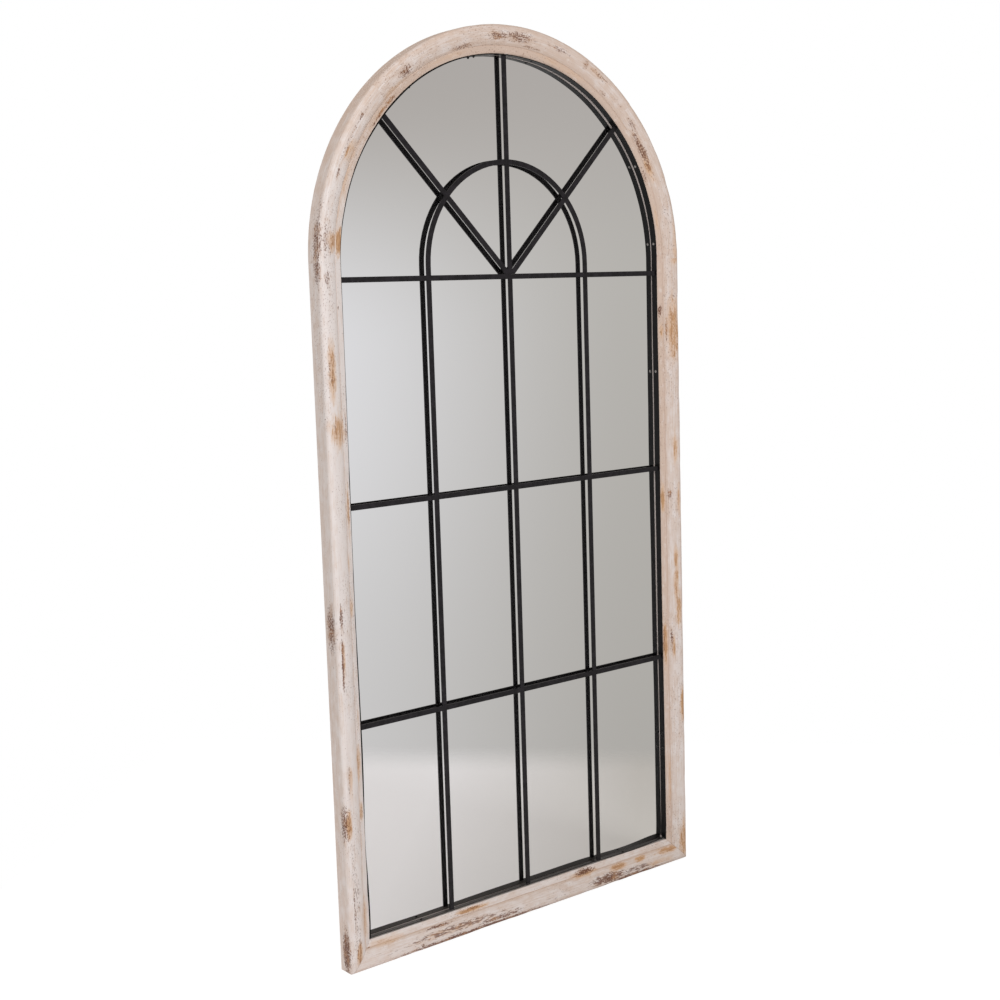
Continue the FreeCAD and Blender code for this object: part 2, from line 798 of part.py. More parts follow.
segment_names = ("right_haunch", "right_crown", "left_crown", "left_haunch")
nodes = [stile("left_stile", -1), stile("right_stile", 1), rail("bottom_rail")]
nodes += [arch_segment(name, number) for number, name in enumerate(segment_names)]
nodes += [mirror_pane(), back_panel(), hoop_band(), sill_band()]
bar_names = ("spring_bar", "middle_bar", "lower_bar")
nodes += [cross_bar(name, height) for name, height in zip(bar_names, bar_heights)]
nodes += [centre_bar(), inner_hoop(), ray("left_ray", -1), ray("right_ray", 1)]
for side, word in ((-1, "left"), (1, "right")):
    nodes += [hanger_strap(f"{word}_hanger_strap", side), hanger_ring(f"{word}_hanger_ring", side)]

dowel = dowel_pattern()
pin = headed_piece("pin_pattern", size("pin_head_diameter"), size("pin_head_height"),
                   size("pin_shank_diameter"), size("pin_length"))
screw = headed_piece("screw_pattern", size("screw_head_diameter"), size("screw_head_height"),
                     size("screw_shank_diameter"), size("screw_length"))
doc.recompute()
nodes += [
    group("joint_dowels", dowel, dowel_places()),
    group("band_pins", pin, pin_places()),
    group("panel_screws", screw, back_places(panel_screw_places(), -size("panel_recess"))),
    group("hanger_screws", screw, hanger_screw_places()),
]
doc.recompute()

# Every feature has to have worked, and every cut has to have taken something away
for item in doc.Objects:
    if "Invalid" in item.State or "Error" in item.State:
        raise RuntimeError(f"{item.Label} failed: {item.State}")
    if item.TypeId == "PartDesign::Pocket":
        if item.Shape.Volume >= item.BaseFeature.Shape.Volume:
            raise RuntimeError(f"{item.Label} cuts nothing")
for node in nodes:
    if node.Shape.isNull() or not node.Shape.isValid():
        raise RuntimeError(f"{node.Label} has no valid shape")

os.makedirs("parts", exist_ok=True)
for node in nodes:
    node.Shape.exportStep(f"parts/{node.Label}.step")
    print(node.Label, len(node.Shape.Solids), "solids", round(node.Shape.Volume), "cubic mm")
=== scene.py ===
import bpy
import math
import numpy as np
from mathutils import Matrix


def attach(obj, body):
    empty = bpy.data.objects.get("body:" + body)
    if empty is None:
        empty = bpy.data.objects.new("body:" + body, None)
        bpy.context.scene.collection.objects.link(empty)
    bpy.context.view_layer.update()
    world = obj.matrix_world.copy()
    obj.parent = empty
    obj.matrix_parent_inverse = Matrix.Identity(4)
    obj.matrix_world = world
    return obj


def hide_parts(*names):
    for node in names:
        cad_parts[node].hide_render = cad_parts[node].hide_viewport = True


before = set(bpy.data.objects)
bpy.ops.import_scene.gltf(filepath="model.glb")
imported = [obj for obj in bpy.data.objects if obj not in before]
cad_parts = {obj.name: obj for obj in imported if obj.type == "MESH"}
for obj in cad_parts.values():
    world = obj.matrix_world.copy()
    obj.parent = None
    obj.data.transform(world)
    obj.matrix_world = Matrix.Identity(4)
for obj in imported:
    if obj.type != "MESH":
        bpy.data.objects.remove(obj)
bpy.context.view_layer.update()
scene = bpy.context.scene
scene.view_settings.view_transform = "Standard"
mm = 0.001
sharpAngle = math.radians(38)  # edges steeper than this stay crisp
print("loaded", len(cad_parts), "nodes")


def linear(hexColour):
    # sRGB hex to linear light: c / 12.92 up to 0.04045, above it ((c + 0.055) / 1.055) ^ 2.4
    parts = [int(hexColour[i:i + 2], 16) / 255 for i in (1, 3, 5)]
    return tuple(c / 12.92 if c <= 0.04045 else ((c + 0.055) / 1.055) ** 2.4 for c in parts) + (1.0,)


def feed(tree, node, inputs):
    # inputs are plain values or the sockets that feed the node
    for key, value in inputs.items():
        if isinstance(value, bpy.types.NodeSocket):
            tree.links.new(value, node.inputs[key])
        else:
            node.inputs[key].default_value = value


def addNode(tree, kind, inputs=None, **settings):
    # one node with its own settings and what feeds it
    made = tree.nodes.new("ShaderNode" + kind)
    for key, value in settings.items():
        setattr(made, key, value)
    feed(tree, made, inputs or {})
    return made


def newMaterial(name):
    material = bpy.data.materials.new(name)
    material.use_nodes = True
    return material, material.node_tree, material.node_tree.nodes["Principled BSDF"]


def objectPlace(tree):
    return addNode(tree, "TexCoord").outputs["Object"]  # metres


def combine(tree, first, second, kind="ADD"):
    return addNode(tree, "Math", {0: first, 1: second}, operation=kind).outputs[0]


def mapTo(tree, value, over, results=(0.0, 1.0), soft=False):
    # carries a value from the range over to the range results, with eased ends if soft
    inputs = {0: value, 1: over[0], 2: over[1], 3: results[0], 4: results[1]}
    kind = "SMOOTHSTEP" if soft else "LINEAR"
    return addNode(tree, "MapRange", inputs, interpolation_type=kind).outputs[0]


def mixColour(tree, share, first, second):
    # share 0 gives the first colour and 1 the second; each is a hex word or a socket
    ends = {}
    for key, value in ((6, first), (7, second)):
        ends[key] = linear(value) if isinstance(value, str) else value
    return addNode(tree, "Mix", {0: share, **ends}, data_type="RGBA").outputs[2]


def clouds(tree, place, size, detail):
    # noise in patches of this size in mm
    inputs = {"Vector": place, "Scale": 1000 / size, "Detail": detail}
    return addNode(tree, "TexNoise", inputs).outputs["Fac"]


def relief(tree, height, bump):
    # bump is the strength and the height in metres
    return addNode(tree, "Bump", {"Strength": bump[0], "Distance": bump[1], "Height": height}).outputs[0]


def placed(right, up, back, place):
    # where a camera or lamp stands and how it is turned, from its own axes
    axes = np.eye(4)
    axes[:3] = np.stack([right, up, back, place], -1)
    return Matrix(axes.tolist())


# Camera, solved from the straight edges of the frame in the picture
viewpoint = {
    "place": (-1.90179, -2.3908, 1.27598), "clip": 0.01,  # metres
    "yaw": 38.0985, "pitch": -7.6891, "roll": -1.7863,  # degrees
    "focalPixels": 1519.419, "framePixels": 1000.0, "sensor": 36.0,
}


def makeCamera(v):
    # forward from yaw and pitch; right and up turned about it by the roll
    yaw, pitch, roll = (math.radians(v[key]) for key in ("yaw", "pitch", "roll"))
    forward = np.array([math.sin(yaw) * math.cos(pitch), math.cos(yaw) * math.cos(pitch), math.sin(pitch)])
    level = np.array([math.cos(yaw), -math.sin(yaw), 0.0])
    upright = np.cross(level, forward)
    right = math.cos(roll) * level + math.sin(roll) * upright
    up = -math.sin(roll) * level + math.cos(roll) * upright
    lens = bpy.data.cameras.new("camera")
    lens.sensor_width = v["sensor"]
    lens.lens = v["focalPixels"] * v["sensor"] / v["framePixels"]
    lens.clip_start = v["clip"]
    camera = bpy.data.objects.new("camera", lens)
    camera.matrix_world = placed(right, up, -forward, v["place"])
    scene.collection.objects.link(camera)
    scene.camera = camera


makeCamera(viewpoint)
print("camera set")

# Studio: white behind the object, and for light and reflections a pale grey room, brighter on the left
studio = {
    "far": "#C3C0BB", "near": "#F0F0F3",  # dim right side, bright left side
    "high": "#BAB5B1", "low": "#BAB7B2",  # the dim side above and below
    "nearRight": (29.0, 44.0), "nearLeft": (-100.0, -60.0),  # degrees from ahead where the bright side ends
    # heights of the view direction, -1 straight down to 1 straight up, over which the room changes
    "lowOver": (0.0, -0.29), "highOver": (0.0, 0.16),
    "nearUnder": (-0.28, -0.035), "nearOver": (-0.035, 0.13),
    "nearLow": 0.55,  # share of the bright side that is left low down
    "shown": "#FFFFFF",
}


def makeStudio(s):
    world = bpy.data.worlds.new("studio")
    world.use_nodes = True
    scene.world = world
    tree = world.node_tree
    tree.nodes.clear()
    axes = addNode(tree, "SeparateXYZ", {0: addNode(tree, "TexCoord").outputs["Generated"]}).outputs
    ahead = combine(tree, axes["Y"], -1.0, "MULTIPLY")
    turn = combine(tree, axes["X"], ahead, "ARCTAN2")
    turn = addNode(tree, "Math", {0: turn}, operation="DEGREES").outputs[0]
    # the bright side's share is the product of four fades: right, left, down and up
    share = mapTo(tree, turn, s["nearRight"], (1.0, 0.0), soft=True)
    fades = (
        mapTo(tree, turn, s["nearLeft"], soft=True),
        mapTo(tree, axes["Z"], s["nearUnder"], (s["nearLow"], 1.0), soft=True),
        mapTo(tree, axes["Z"], s["nearOver"], (1.0, 0.0), soft=True),
    )
    for fade in fades:
        share = combine(tree, share, fade, "MULTIPLY")
    wall = mixColour(tree, mapTo(tree, axes["Z"], s["lowOver"]), s["far"], s["low"])
    wall = mixColour(tree, mapTo(tree, axes["Z"], s["highOver"], soft=True), wall, s["high"])
    room = mixColour(tree, share, wall, s["near"])
    seen = addNode(tree, "LightPath").outputs["Is Camera Ray"]
    background = addNode(tree, "Background", {0: mixColour(tree, seen, room, s["shown"]), 1: 1.0})
    output = addNode(tree, "OutputWorld", {0: background.outputs[0]})
    output.is_active_output = True


# Floor: a matt painted square under the mirror and before it. Straight to the camera it is nearly all white,
# with the shadow left in. Reflections see painted light on it: paint pale on the left and darker on the
# right, a faint painted glow, and a soft far edge
floorSheet = {
    "half": 1.17, "turn": 44.3, "drop": 0.0003, "points": 25, "softEdge": 0.27,  # metres, degrees
    # paint and the glow colours are painted light: paler and brighter on the left, as if lamps lit the floor
    # from there
    "paint": ("#FAF9FA", "#CDCAC4"), "across": (-0.32, 0.22),  # left and right, metres over which they blend
    "paintedLightNear": ("#CECED0", "#ECECED"), "paintedLightFar": ("#D3D9E1", "#B2B2B4"), "out": (-0.3, -1.1),  # metres
    "glow": 0.15, "rough": 0.9, "shown": "#FFFFFF", "shownGlow": 0.9, "shownVeil": (0.2, 0.2, 0.2, 1.0),
}


def makeFloor(f):
    # square sheet: a and b from -half to half, turned so that its far edge shows level in the pane
    steps = np.linspace(-f["half"], f["half"], f["points"])
    a, b = np.meshgrid(steps, steps, indexing="ij")
    turn = math.radians(f["turn"])
    x = a * math.cos(turn) - b * math.sin(turn)
    y = a * math.sin(turn) + b * math.cos(turn)
    points = np.stack([x, y, 0 * a - f["drop"]], -1).reshape(-1, 3)
    number = np.arange(len(points)).reshape(a.shape)
    quads = np.stack([number[:-1, :-1], number[1:, :-1], number[1:, 1:], number[:-1, 1:]], -1).reshape(-1, 4)
    mesh = bpy.data.meshes.new("floor")
    mesh.from_pydata(points.tolist(), [], quads.tolist())
    floor = bpy.data.objects.new("floor", mesh)
    scene.collection.objects.link(floor)
    material, tree, shader = newMaterial("matt floor paint")
    turned = addNode(tree, "Mapping", {"Vector": objectPlace(tree), "Rotation": (0.0, 0.0, -turn)}).outputs[0]
    axes = addNode(tree, "SeparateXYZ", {0: turned}).outputs  # X is a, Y is b
    # painted light: the paint fades from pale on the left to grey on the right, and a glow that only
    # reflections see changes with side and with distance from the pane
    fade = mapTo(tree, axes["X"], f["across"])
    near, far = (mixColour(tree, fade, *f[key]) for key in ("paintedLightNear", "paintedLightFar"))
    lift = mixColour(tree, mapTo(tree, axes["Y"], f["out"]), near, far)
    feed(tree, shader, {
        "Base Color": mixColour(tree, fade, *f["paint"]), "Roughness": f["rough"],
        "Emission Color": lift, "Emission Strength": f["glow"],
    })
    edge = mapTo(tree, axes["Y"], (-f["half"], f["softEdge"] - f["half"]), soft=True)
    clear = addNode(tree, "BsdfTransparent").outputs[0]
    soft = addNode(tree, "MixShader", {0: edge, 1: clear, 2: shader.outputs[0]}).outputs[0]
    glow = addNode(tree, "Emission", {0: linear(f["shown"]), 1: f["shownGlow"]}).outputs[0]
    veil = addNode(tree, "BsdfDiffuse", {0: f["shownVeil"]}).outputs[0]
    white = addNode(tree, "AddShader", {0: glow, 1: veil}).outputs[0]
    seen = addNode(tree, "LightPath").outputs["Is Camera Ray"]
    both = addNode(tree, "MixShader", {0: seen, 1: soft, 2: white}).outputs[0]
    tree.links.new(both, tree.nodes["Material Output"].inputs["Surface"])
    mesh.materials.append(material)


panels = {
    # softboxes: place, aimed at, width and height in metres, power in watts
    "left panel": {"place": (-1.7, -2.7, 2.6), "aim": (0.0, -0.2, 0.7), "size": (1.6, 1.6), "watts": 62.0},
    "right panel": {"place": (2.6, -1.2, 2.4), "aim": (0.0, 0.0, 0.9), "size": (1.4, 1.4), "watts": 1.5},
    "rear panel": {"place": (0.4, 2.8, 2.4), "aim": (0.0, 0.0, 0.9), "size": (1.6, 1.6), "watts": 34.0},
}


def makePanel(name, p):
    lamp = bpy.data.lights.new(name, "AREA")
    lamp.shape = "RECTANGLE"
    lamp.size, lamp.size_y = p["size"]
    lamp.energy = p["watts"]
    light = bpy.data.objects.new(name, lamp)
    away = np.subtract(p["place"], p["aim"])
    away = away / np.linalg.norm(away)
    right = np.cross((0, 0, 1), away)
    right = right / np.linalg.norm(right)
    light.matrix_world = placed(right, np.cross(away, right), away, p["place"])
    light.visible_glossy = False  # the pane would show the panels as white squares
    scene.collection.objects.link(light)


makeStudio(studio)
makeFloor(floorSheet)
for panelName, panel in panels.items():
    makePanel(panelName, panel)
print("studio set")

# Moulded fir frame, brushed with thin white wash and rubbed back: the wash lies in streaks along the
# piece, the bevel and the sides show more wood, rubbed spots are golden and pitted spots hold brown stain
washedFir = {
    "white": "#E2DAD7", "thin": "#CDB7A8", "chalk": "#EFEAE8",
    "peach": "#D6B598", "golden": "#C59B72", "brown": "#A87B55", "stain": "#6A4433", "smear": "#A3826E",
    # joint is the dark of the joint lines, also laid on the bed under the iron band as painted shade
    "joint": "#7A6455", "rawFir": "#CDB18B",
    # patterns: mm along, mm across, detail, roughness
    "streak": (70.0, 2.4, 4.0, 0.65), "mottle": (27.0, 15.0, 3.0, 0.55),
    "figure": (42.0, 2.8, 3.0, 0.6), "rub": (26.0, 3.2, 3.0, 0.6),
    "pits": (4.0, 3.0, 2.0, 0.6), "rake": (17.0, 2.6, 2.0, 0.6),  # larger than life, to show from 3 m
    # layers: how far patterns move their strength, the strengths over which they come in, the most they hide
    "thinBy": (1.4, 1.2), "thinOver": (0.0, 1.0), "chalkOver": (0.57, 0.72), "chalkMost": 0.34,
    "veilBy": 0.36, "veilOver": (0.06, 0.6), "veilMost": 0.78,
    "bareBy": (1.3, 0.5), "bareOver": (0.38, 0.7), "bareMost": 0.92, "figureOver": (0.36, 0.64),
    "smearBy": (1.2, 0.8), "smearOver": (0.3, 0.95), "smearMost": 0.46,
    "speckBy": 0.3, "speckOver": (0.68, 0.76), "speckMost": 0.95,
    "dashBy": 0.27, "dashOver": (0.68, 0.77), "dashMost": 0.75,
    "deepOver": (0.1, 0.9), "deepLeast": 0.45, "stainOver": (0.48, 0.7), "rawOver": (0.35, 0.7),
    "roughOver": (0.3, 1.6), "rough": (0.55, 0.75), "specular": 0.35,
    "streakHigh": 0.5, "figureHigh": 0.4, "stainDeep": 0.4, "bareDeep": 0.3, "bump": (0.5, 0.0006),
}


def makeWashedFir(w):
    material, tree, shader = newMaterial("whitewashed fir, brushed and rubbed back")

    def mark(name, output="Fac"):
        return addNode(tree, "Attribute", attribute_name=name).outputs[output]

    def noise(vector, pattern):
        along, across, detail, rough = pattern
        scale = (1 / along, 1 / across, 1.0)
        spread = addNode(tree, "Mapping", {"Vector": vector, "Scale": scale}).outputs[0]
        inputs = {"Vector": spread, "Scale": 1.0, "Detail": detail, "Roughness": rough}
        return addNode(tree, "TexNoise", inputs).outputs["Fac"]

    def times(value, amount):
        return combine(tree, value, amount, "MULTIPLY")

    def moved(value, *moves):
        # adds each pattern, counted from its middle, times its amount
        for pattern, amount in moves:
            value = combine(tree, value, times(combine(tree, pattern, 0.5, "SUBTRACT"), amount))
        return value

    def cover(value, over, most=1.0):
        return mapTo(tree, value, over, (0.0, most), soft=True)

    stroke = mark("stroke", "Vector")
    grain = mark("grain", "Vector")
    streak, mottle, pits, rake = (noise(stroke, w[key]) for key in ("streak", "mottle", "pits", "rake"))
    figure, rub = (noise(grain, w[key]) for key in ("figure", "rub"))
    thin = moved(mark("thin"), (streak, w["thinBy"][0]), (mottle, w["thinBy"][1]))
    colour = mixColour(tree, cover(thin, w["thinOver"]), w["white"], w["thin"])
    colour = mixColour(tree, cover(mottle, w["chalkOver"], w["chalkMost"]), colour, w["chalk"])
    # rubbed spots: a peach veil where the wash is nearly gone, golden wood in streaks inside it
    rubbed = mark("bare")
    veil = cover(moved(rubbed, (mottle, w["veilBy"])), w["veilOver"], w["veilMost"])
    colour = mixColour(tree, veil, colour, w["peach"])
    bare = moved(rubbed, (rub, w["bareBy"][0]), (pits, w["bareBy"][1]))
    bare = cover(bare, w["bareOver"], w["bareMost"])
    wood = mixColour(tree, cover(figure, w["figureOver"]), w["golden"], w["brown"])
    colour = mixColour(tree, bare, colour, wood)
    # brown stain: a thin smear, specks in the pits and short raked dashes along the piece
    stained = mark("fleck")
    raked = mark("rake")
    smear = moved(stained, (rake, w["smearBy"][0]), (mottle, w["smearBy"][1]))
    colour = mixColour(tree, cover(smear, w["smearOver"], w["smearMost"]), colour, w["smear"])
    specks = cover(combine(tree, pits, times(stained, w["speckBy"])), w["speckOver"], w["speckMost"])
    dashes = cover(combine(tree, rake, times(raked, w["dashBy"])), w["dashOver"], w["dashMost"])
    strongest = combine(tree, stained, raked, "MAXIMUM")
    deep = mapTo(tree, strongest, w["deepOver"], (w["deepLeast"], 1.0), soft=True)
    stain = times(combine(tree, specks, dashes, "MAXIMUM"), deep)
    stainTone = mixColour(tree, cover(mottle, w["stainOver"]), w["stain"], w["brown"])
    colour = mixColour(tree, stain, colour, stainTone)
    # joint lines, and painted shade on the bed under the iron band, in the joint colour
    colour = mixColour(tree, mark("jointAndBedShade"), colour, w["joint"])
    rawWood = mixColour(tree, cover(figure, w["rawOver"]), w["rawFir"], w["golden"])
    colour = mixColour(tree, mark("raw"), colour, rawWood)
    rough = mapTo(tree, combine(tree, bare, streak), w["roughOver"], w["rough"], soft=True)
    height = combine(tree, times(streak, w["streakHigh"]), times(figure, w["figureHigh"]))
    height = combine(tree, height, times(stain, w["stainDeep"]), "SUBTRACT")
    height = combine(tree, height, times(bare, w["bareDeep"]), "SUBTRACT")
    feed(tree, shader, {
        "Base Color": colour, "Roughness": rough, "Specular IOR Level": w["specular"],
        "Normal": relief(tree, height, w["bump"]),
    })
    return material


moulding = {
    # mm, inset from the outer edge and height above the back plane
    "halfWidth": 450.0, "archCentre": 1342.0, "sideHeight": 31.0, "edgeRound": 9.0, "depth": 40.0,
    "faceRadius": 55.0, "faceEnd": (38.5, 29.6),
    "quirk": ((38.85, 28.85), (39.2, 28.25), (39.55, 28.4), (40.1, 28.75)),
    "bevelEnd": (51.2, 23.4), "lip": ((51.75, 23.0), (52.0, 22.4)), "lipFoot": (52.0, 11.5),
    "seat": ((53.35, 11.45), (53.35, 8.75), (52.0, 8.65)),  # pale bed under the iron band
    "rebate": ((42.0, 8.6), (42.0, 5.6), (28.0, 5.6), (28.0, 0.0)), "backEnd": (0.5, 0.0),
    "meanRadius": 424.0, "step": 2.2, "endSteps": (0.0, 0.5, 1.2, 2.4), "endGap": 4.4,
    "sideCount": 14, "roundCount": 10, "faceCount": 24, "bevelCount": 10,
    "innerCounts": (6, 1, 2, 1, 3, 2, 4, 3, 7),  # from the lip round the seat and rebate to the back end
}


def mouldingSection(m):
    # closed outline: flat side, quarter round, crowned face on an arc, quirk groove, bevel, lip, rebate, back
    def line(a, b, count):
        t = np.linspace(0, 1, count + 1)[1:, None]
        return np.asarray(a) + t * (np.asarray(b, float) - np.asarray(a))

    r = m["edgeRound"]
    turn = np.linspace(0, np.pi / 2, m["roundCount"] + 1)[1:]
    corner = np.stack([r - r * np.cos(turn), m["sideHeight"] + r * np.sin(turn)], -1)
    start, end = np.array([r, m["depth"]]), np.array(m["faceEnd"])
    chord = end - start
    half = np.hypot(*chord) / 2
    inward = np.array([chord[1], -chord[0]]) / (2 * half)
    centre = (start + end) / 2 + inward * math.sqrt(m["faceRadius"] ** 2 - half ** 2)
    first, last = (math.atan2(*(p - centre)[::-1]) for p in (start, end))
    sweep = np.linspace(first, last, m["faceCount"] + 1)[1:]
    face = centre + m["faceRadius"] * np.stack([np.cos(sweep), np.sin(sweep)], -1)
    inner = [m["lip"][-1], m["lipFoot"], *m["seat"], *m["rebate"], m["backEnd"]]
    parts = [
        np.zeros((1, 2)), line((0, 0), (0, m["sideHeight"]), m["sideCount"]), corner, face,
        np.array(m["quirk"]), line(m["quirk"][-1], m["bevelEnd"], m["bevelCount"]), np.array(m["lip"]),
    ]
    parts += [line(a, b, count) for a, b, count in zip(inner, inner[1:], m["innerCounts"])]
    return np.concatenate(parts)


def latticeNoise(u, v, cell, seed):
    # random heights on a lattice, joined by 3 t^2 - 2 t^3 in both directions
    rows, columns = 97, 61  # the lattice repeats after these
    table = np.random.default_rng(seed).random((rows, columns))
    a, b = u / cell[0], v / cell[1]
    i, j = np.floor(a).astype(int), np.floor(b).astype(int)
    s, t = a - i, b - j
    s, t = s * s * (3 - 2 * s), t * t * (3 - 2 * t)
    here, over, near, next_ = i % rows, (i + 1) % rows, j % columns, (j + 1) % columns
    low = table[here, near] * (1 - s) + table[over, near] * s
    high = table[here, next_] * (1 - s) + table[over, next_] * s
    return low * (1 - t) + high * t


def smooth(x, low, high):
    t = np.clip((x - low) / (high - low), 0, 1)
    return t * t * (3 - 2 * t)


# Wear of all the wood, in mm; across is counted from the back outer edge over the moulding
# (side 0-31, round 31-45, face 45-77, bevel 79-93)
woodWear = {
    "tears": (((9.0, 4.0), 0.6), ((3.4, 1.9), 0.4)),  # noise that tears the marks' edges: patch and share
    "tornBy": 0.5, "markOver": (0.2, 1.35),  # how far the noise moves an edge, and where a mark fades out
    "knockAcross": (14, 90), "knockSize": (1.5, 4.5), "knockDepth": (0.15, 0.6),
    "knockLonger": 2.6, "knockEvery": 16,
    "shownFrom": (2, 8), "shownTo": (93, 97),  # across, where the worn side begins and ends
    "pitLeast": 0.12, "pitMore": 0.2, "pitPatch": (90.0, 30.0), "pitOver": (0.35, 0.75),
    "edges": ((38, 7, 1.0), (92, 2.5, 0.6)),  # round and lip: across, half width, share
    "wearPatch": (38.0, 9.0), "wearOver": (0.55, 0.95), "wavePatch": (70.0, 14.0),
    "waveDeep": 0.3, "wearDeep": 0.9, "bareDeep": 0.28, "fleckDeep": 0.22, "seamDeep": 0.55,
    "seamHalf": 0.9, "seamTo": 94,
    "leanOver": (78, 92), "bedFrom": 100, "leanPast": 4,
    # the thin value peaks at 78 across, in the quirk groove: thin wash there, and painted shade for the
    # groove
    "thinAt": (0, 26, 34, 44, 50, 70, 77, 78, 80, 92, 93, 103, 107),  # across
    "thin": (.48, .42, .33, .22, .12, .2, .45, .95, .62, .55, .7, -.3, -.9),  # how much wood shows there
    # bedShade is painted shade on the bed under the iron band
    "bevelOver": (77, 80), "bedOver": (103, 105), "bedShade": 0.34, "rawFrom": 110,
    "pieceApart": 40.0,  # so that no two pieces share a pattern
}


def spots(along, across, marks, torn, w):
    # each mark is an oval (along, across, half length, half width, strength) with its edge torn by noise
    total = np.zeros_like(along)
    for place, height, length, width, strength in marks:
        reach = np.hypot((along - place) / length, (across - height) / width) + w["tornBy"] * (torn - 0.5)
        total = np.maximum(total, strength * (1 - smooth(reach, *w["markOver"])))
    return total


def dents(along, across, ends, seed, w):
    # shallow knocks: depth times a bell that is longer along the grain
    rng = np.random.default_rng(seed)
    count = int((ends[1] - ends[0]) / w["knockEvery"])
    ranges = (ends, w["knockAcross"], w["knockSize"], w["knockDepth"])
    total = np.zeros_like(along)
    for place, height, size, depth in zip(*(rng.uniform(*limits, count) for limits in ranges)):
        bell = -((along - place) / (w["knockLonger"] * size)) ** 2 - ((across - height) / size) ** 2
        total += depth * np.exp(bell)
    return total


def tubeFaces(number):
    # quads between the rings of a tube, and a cap at each end
    side = np.roll(number, -1, 1)
    quads = np.stack([number[:-1], number[1:], side[1:], side[:-1]], -1).reshape(-1, 4)
    return quads, [number[0].tolist(), number[-1][::-1].tolist()]


def signedVolume(points, quads):
    # six times the volume that the quads close in, below zero if they face inwards
    corner = points[quads]
    halves = np.cross(corner[:, 1], corner[:, 2]) + np.cross(corner[:, 2], corner[:, 3])
    return np.einsum("ij,ij->i", corner[:, 0], halves).sum()


def addLayer(mesh, name, values):
    # one number, or one vector, for each point of the mesh
    kind, key = ("FLOAT_VECTOR", "vector") if values.ndim == 3 else ("FLOAT", "value")
    layer = mesh.attributes.new(name, kind, "POINT")
    layer.data.foreach_set(key, values.astype(np.float32).ravel())


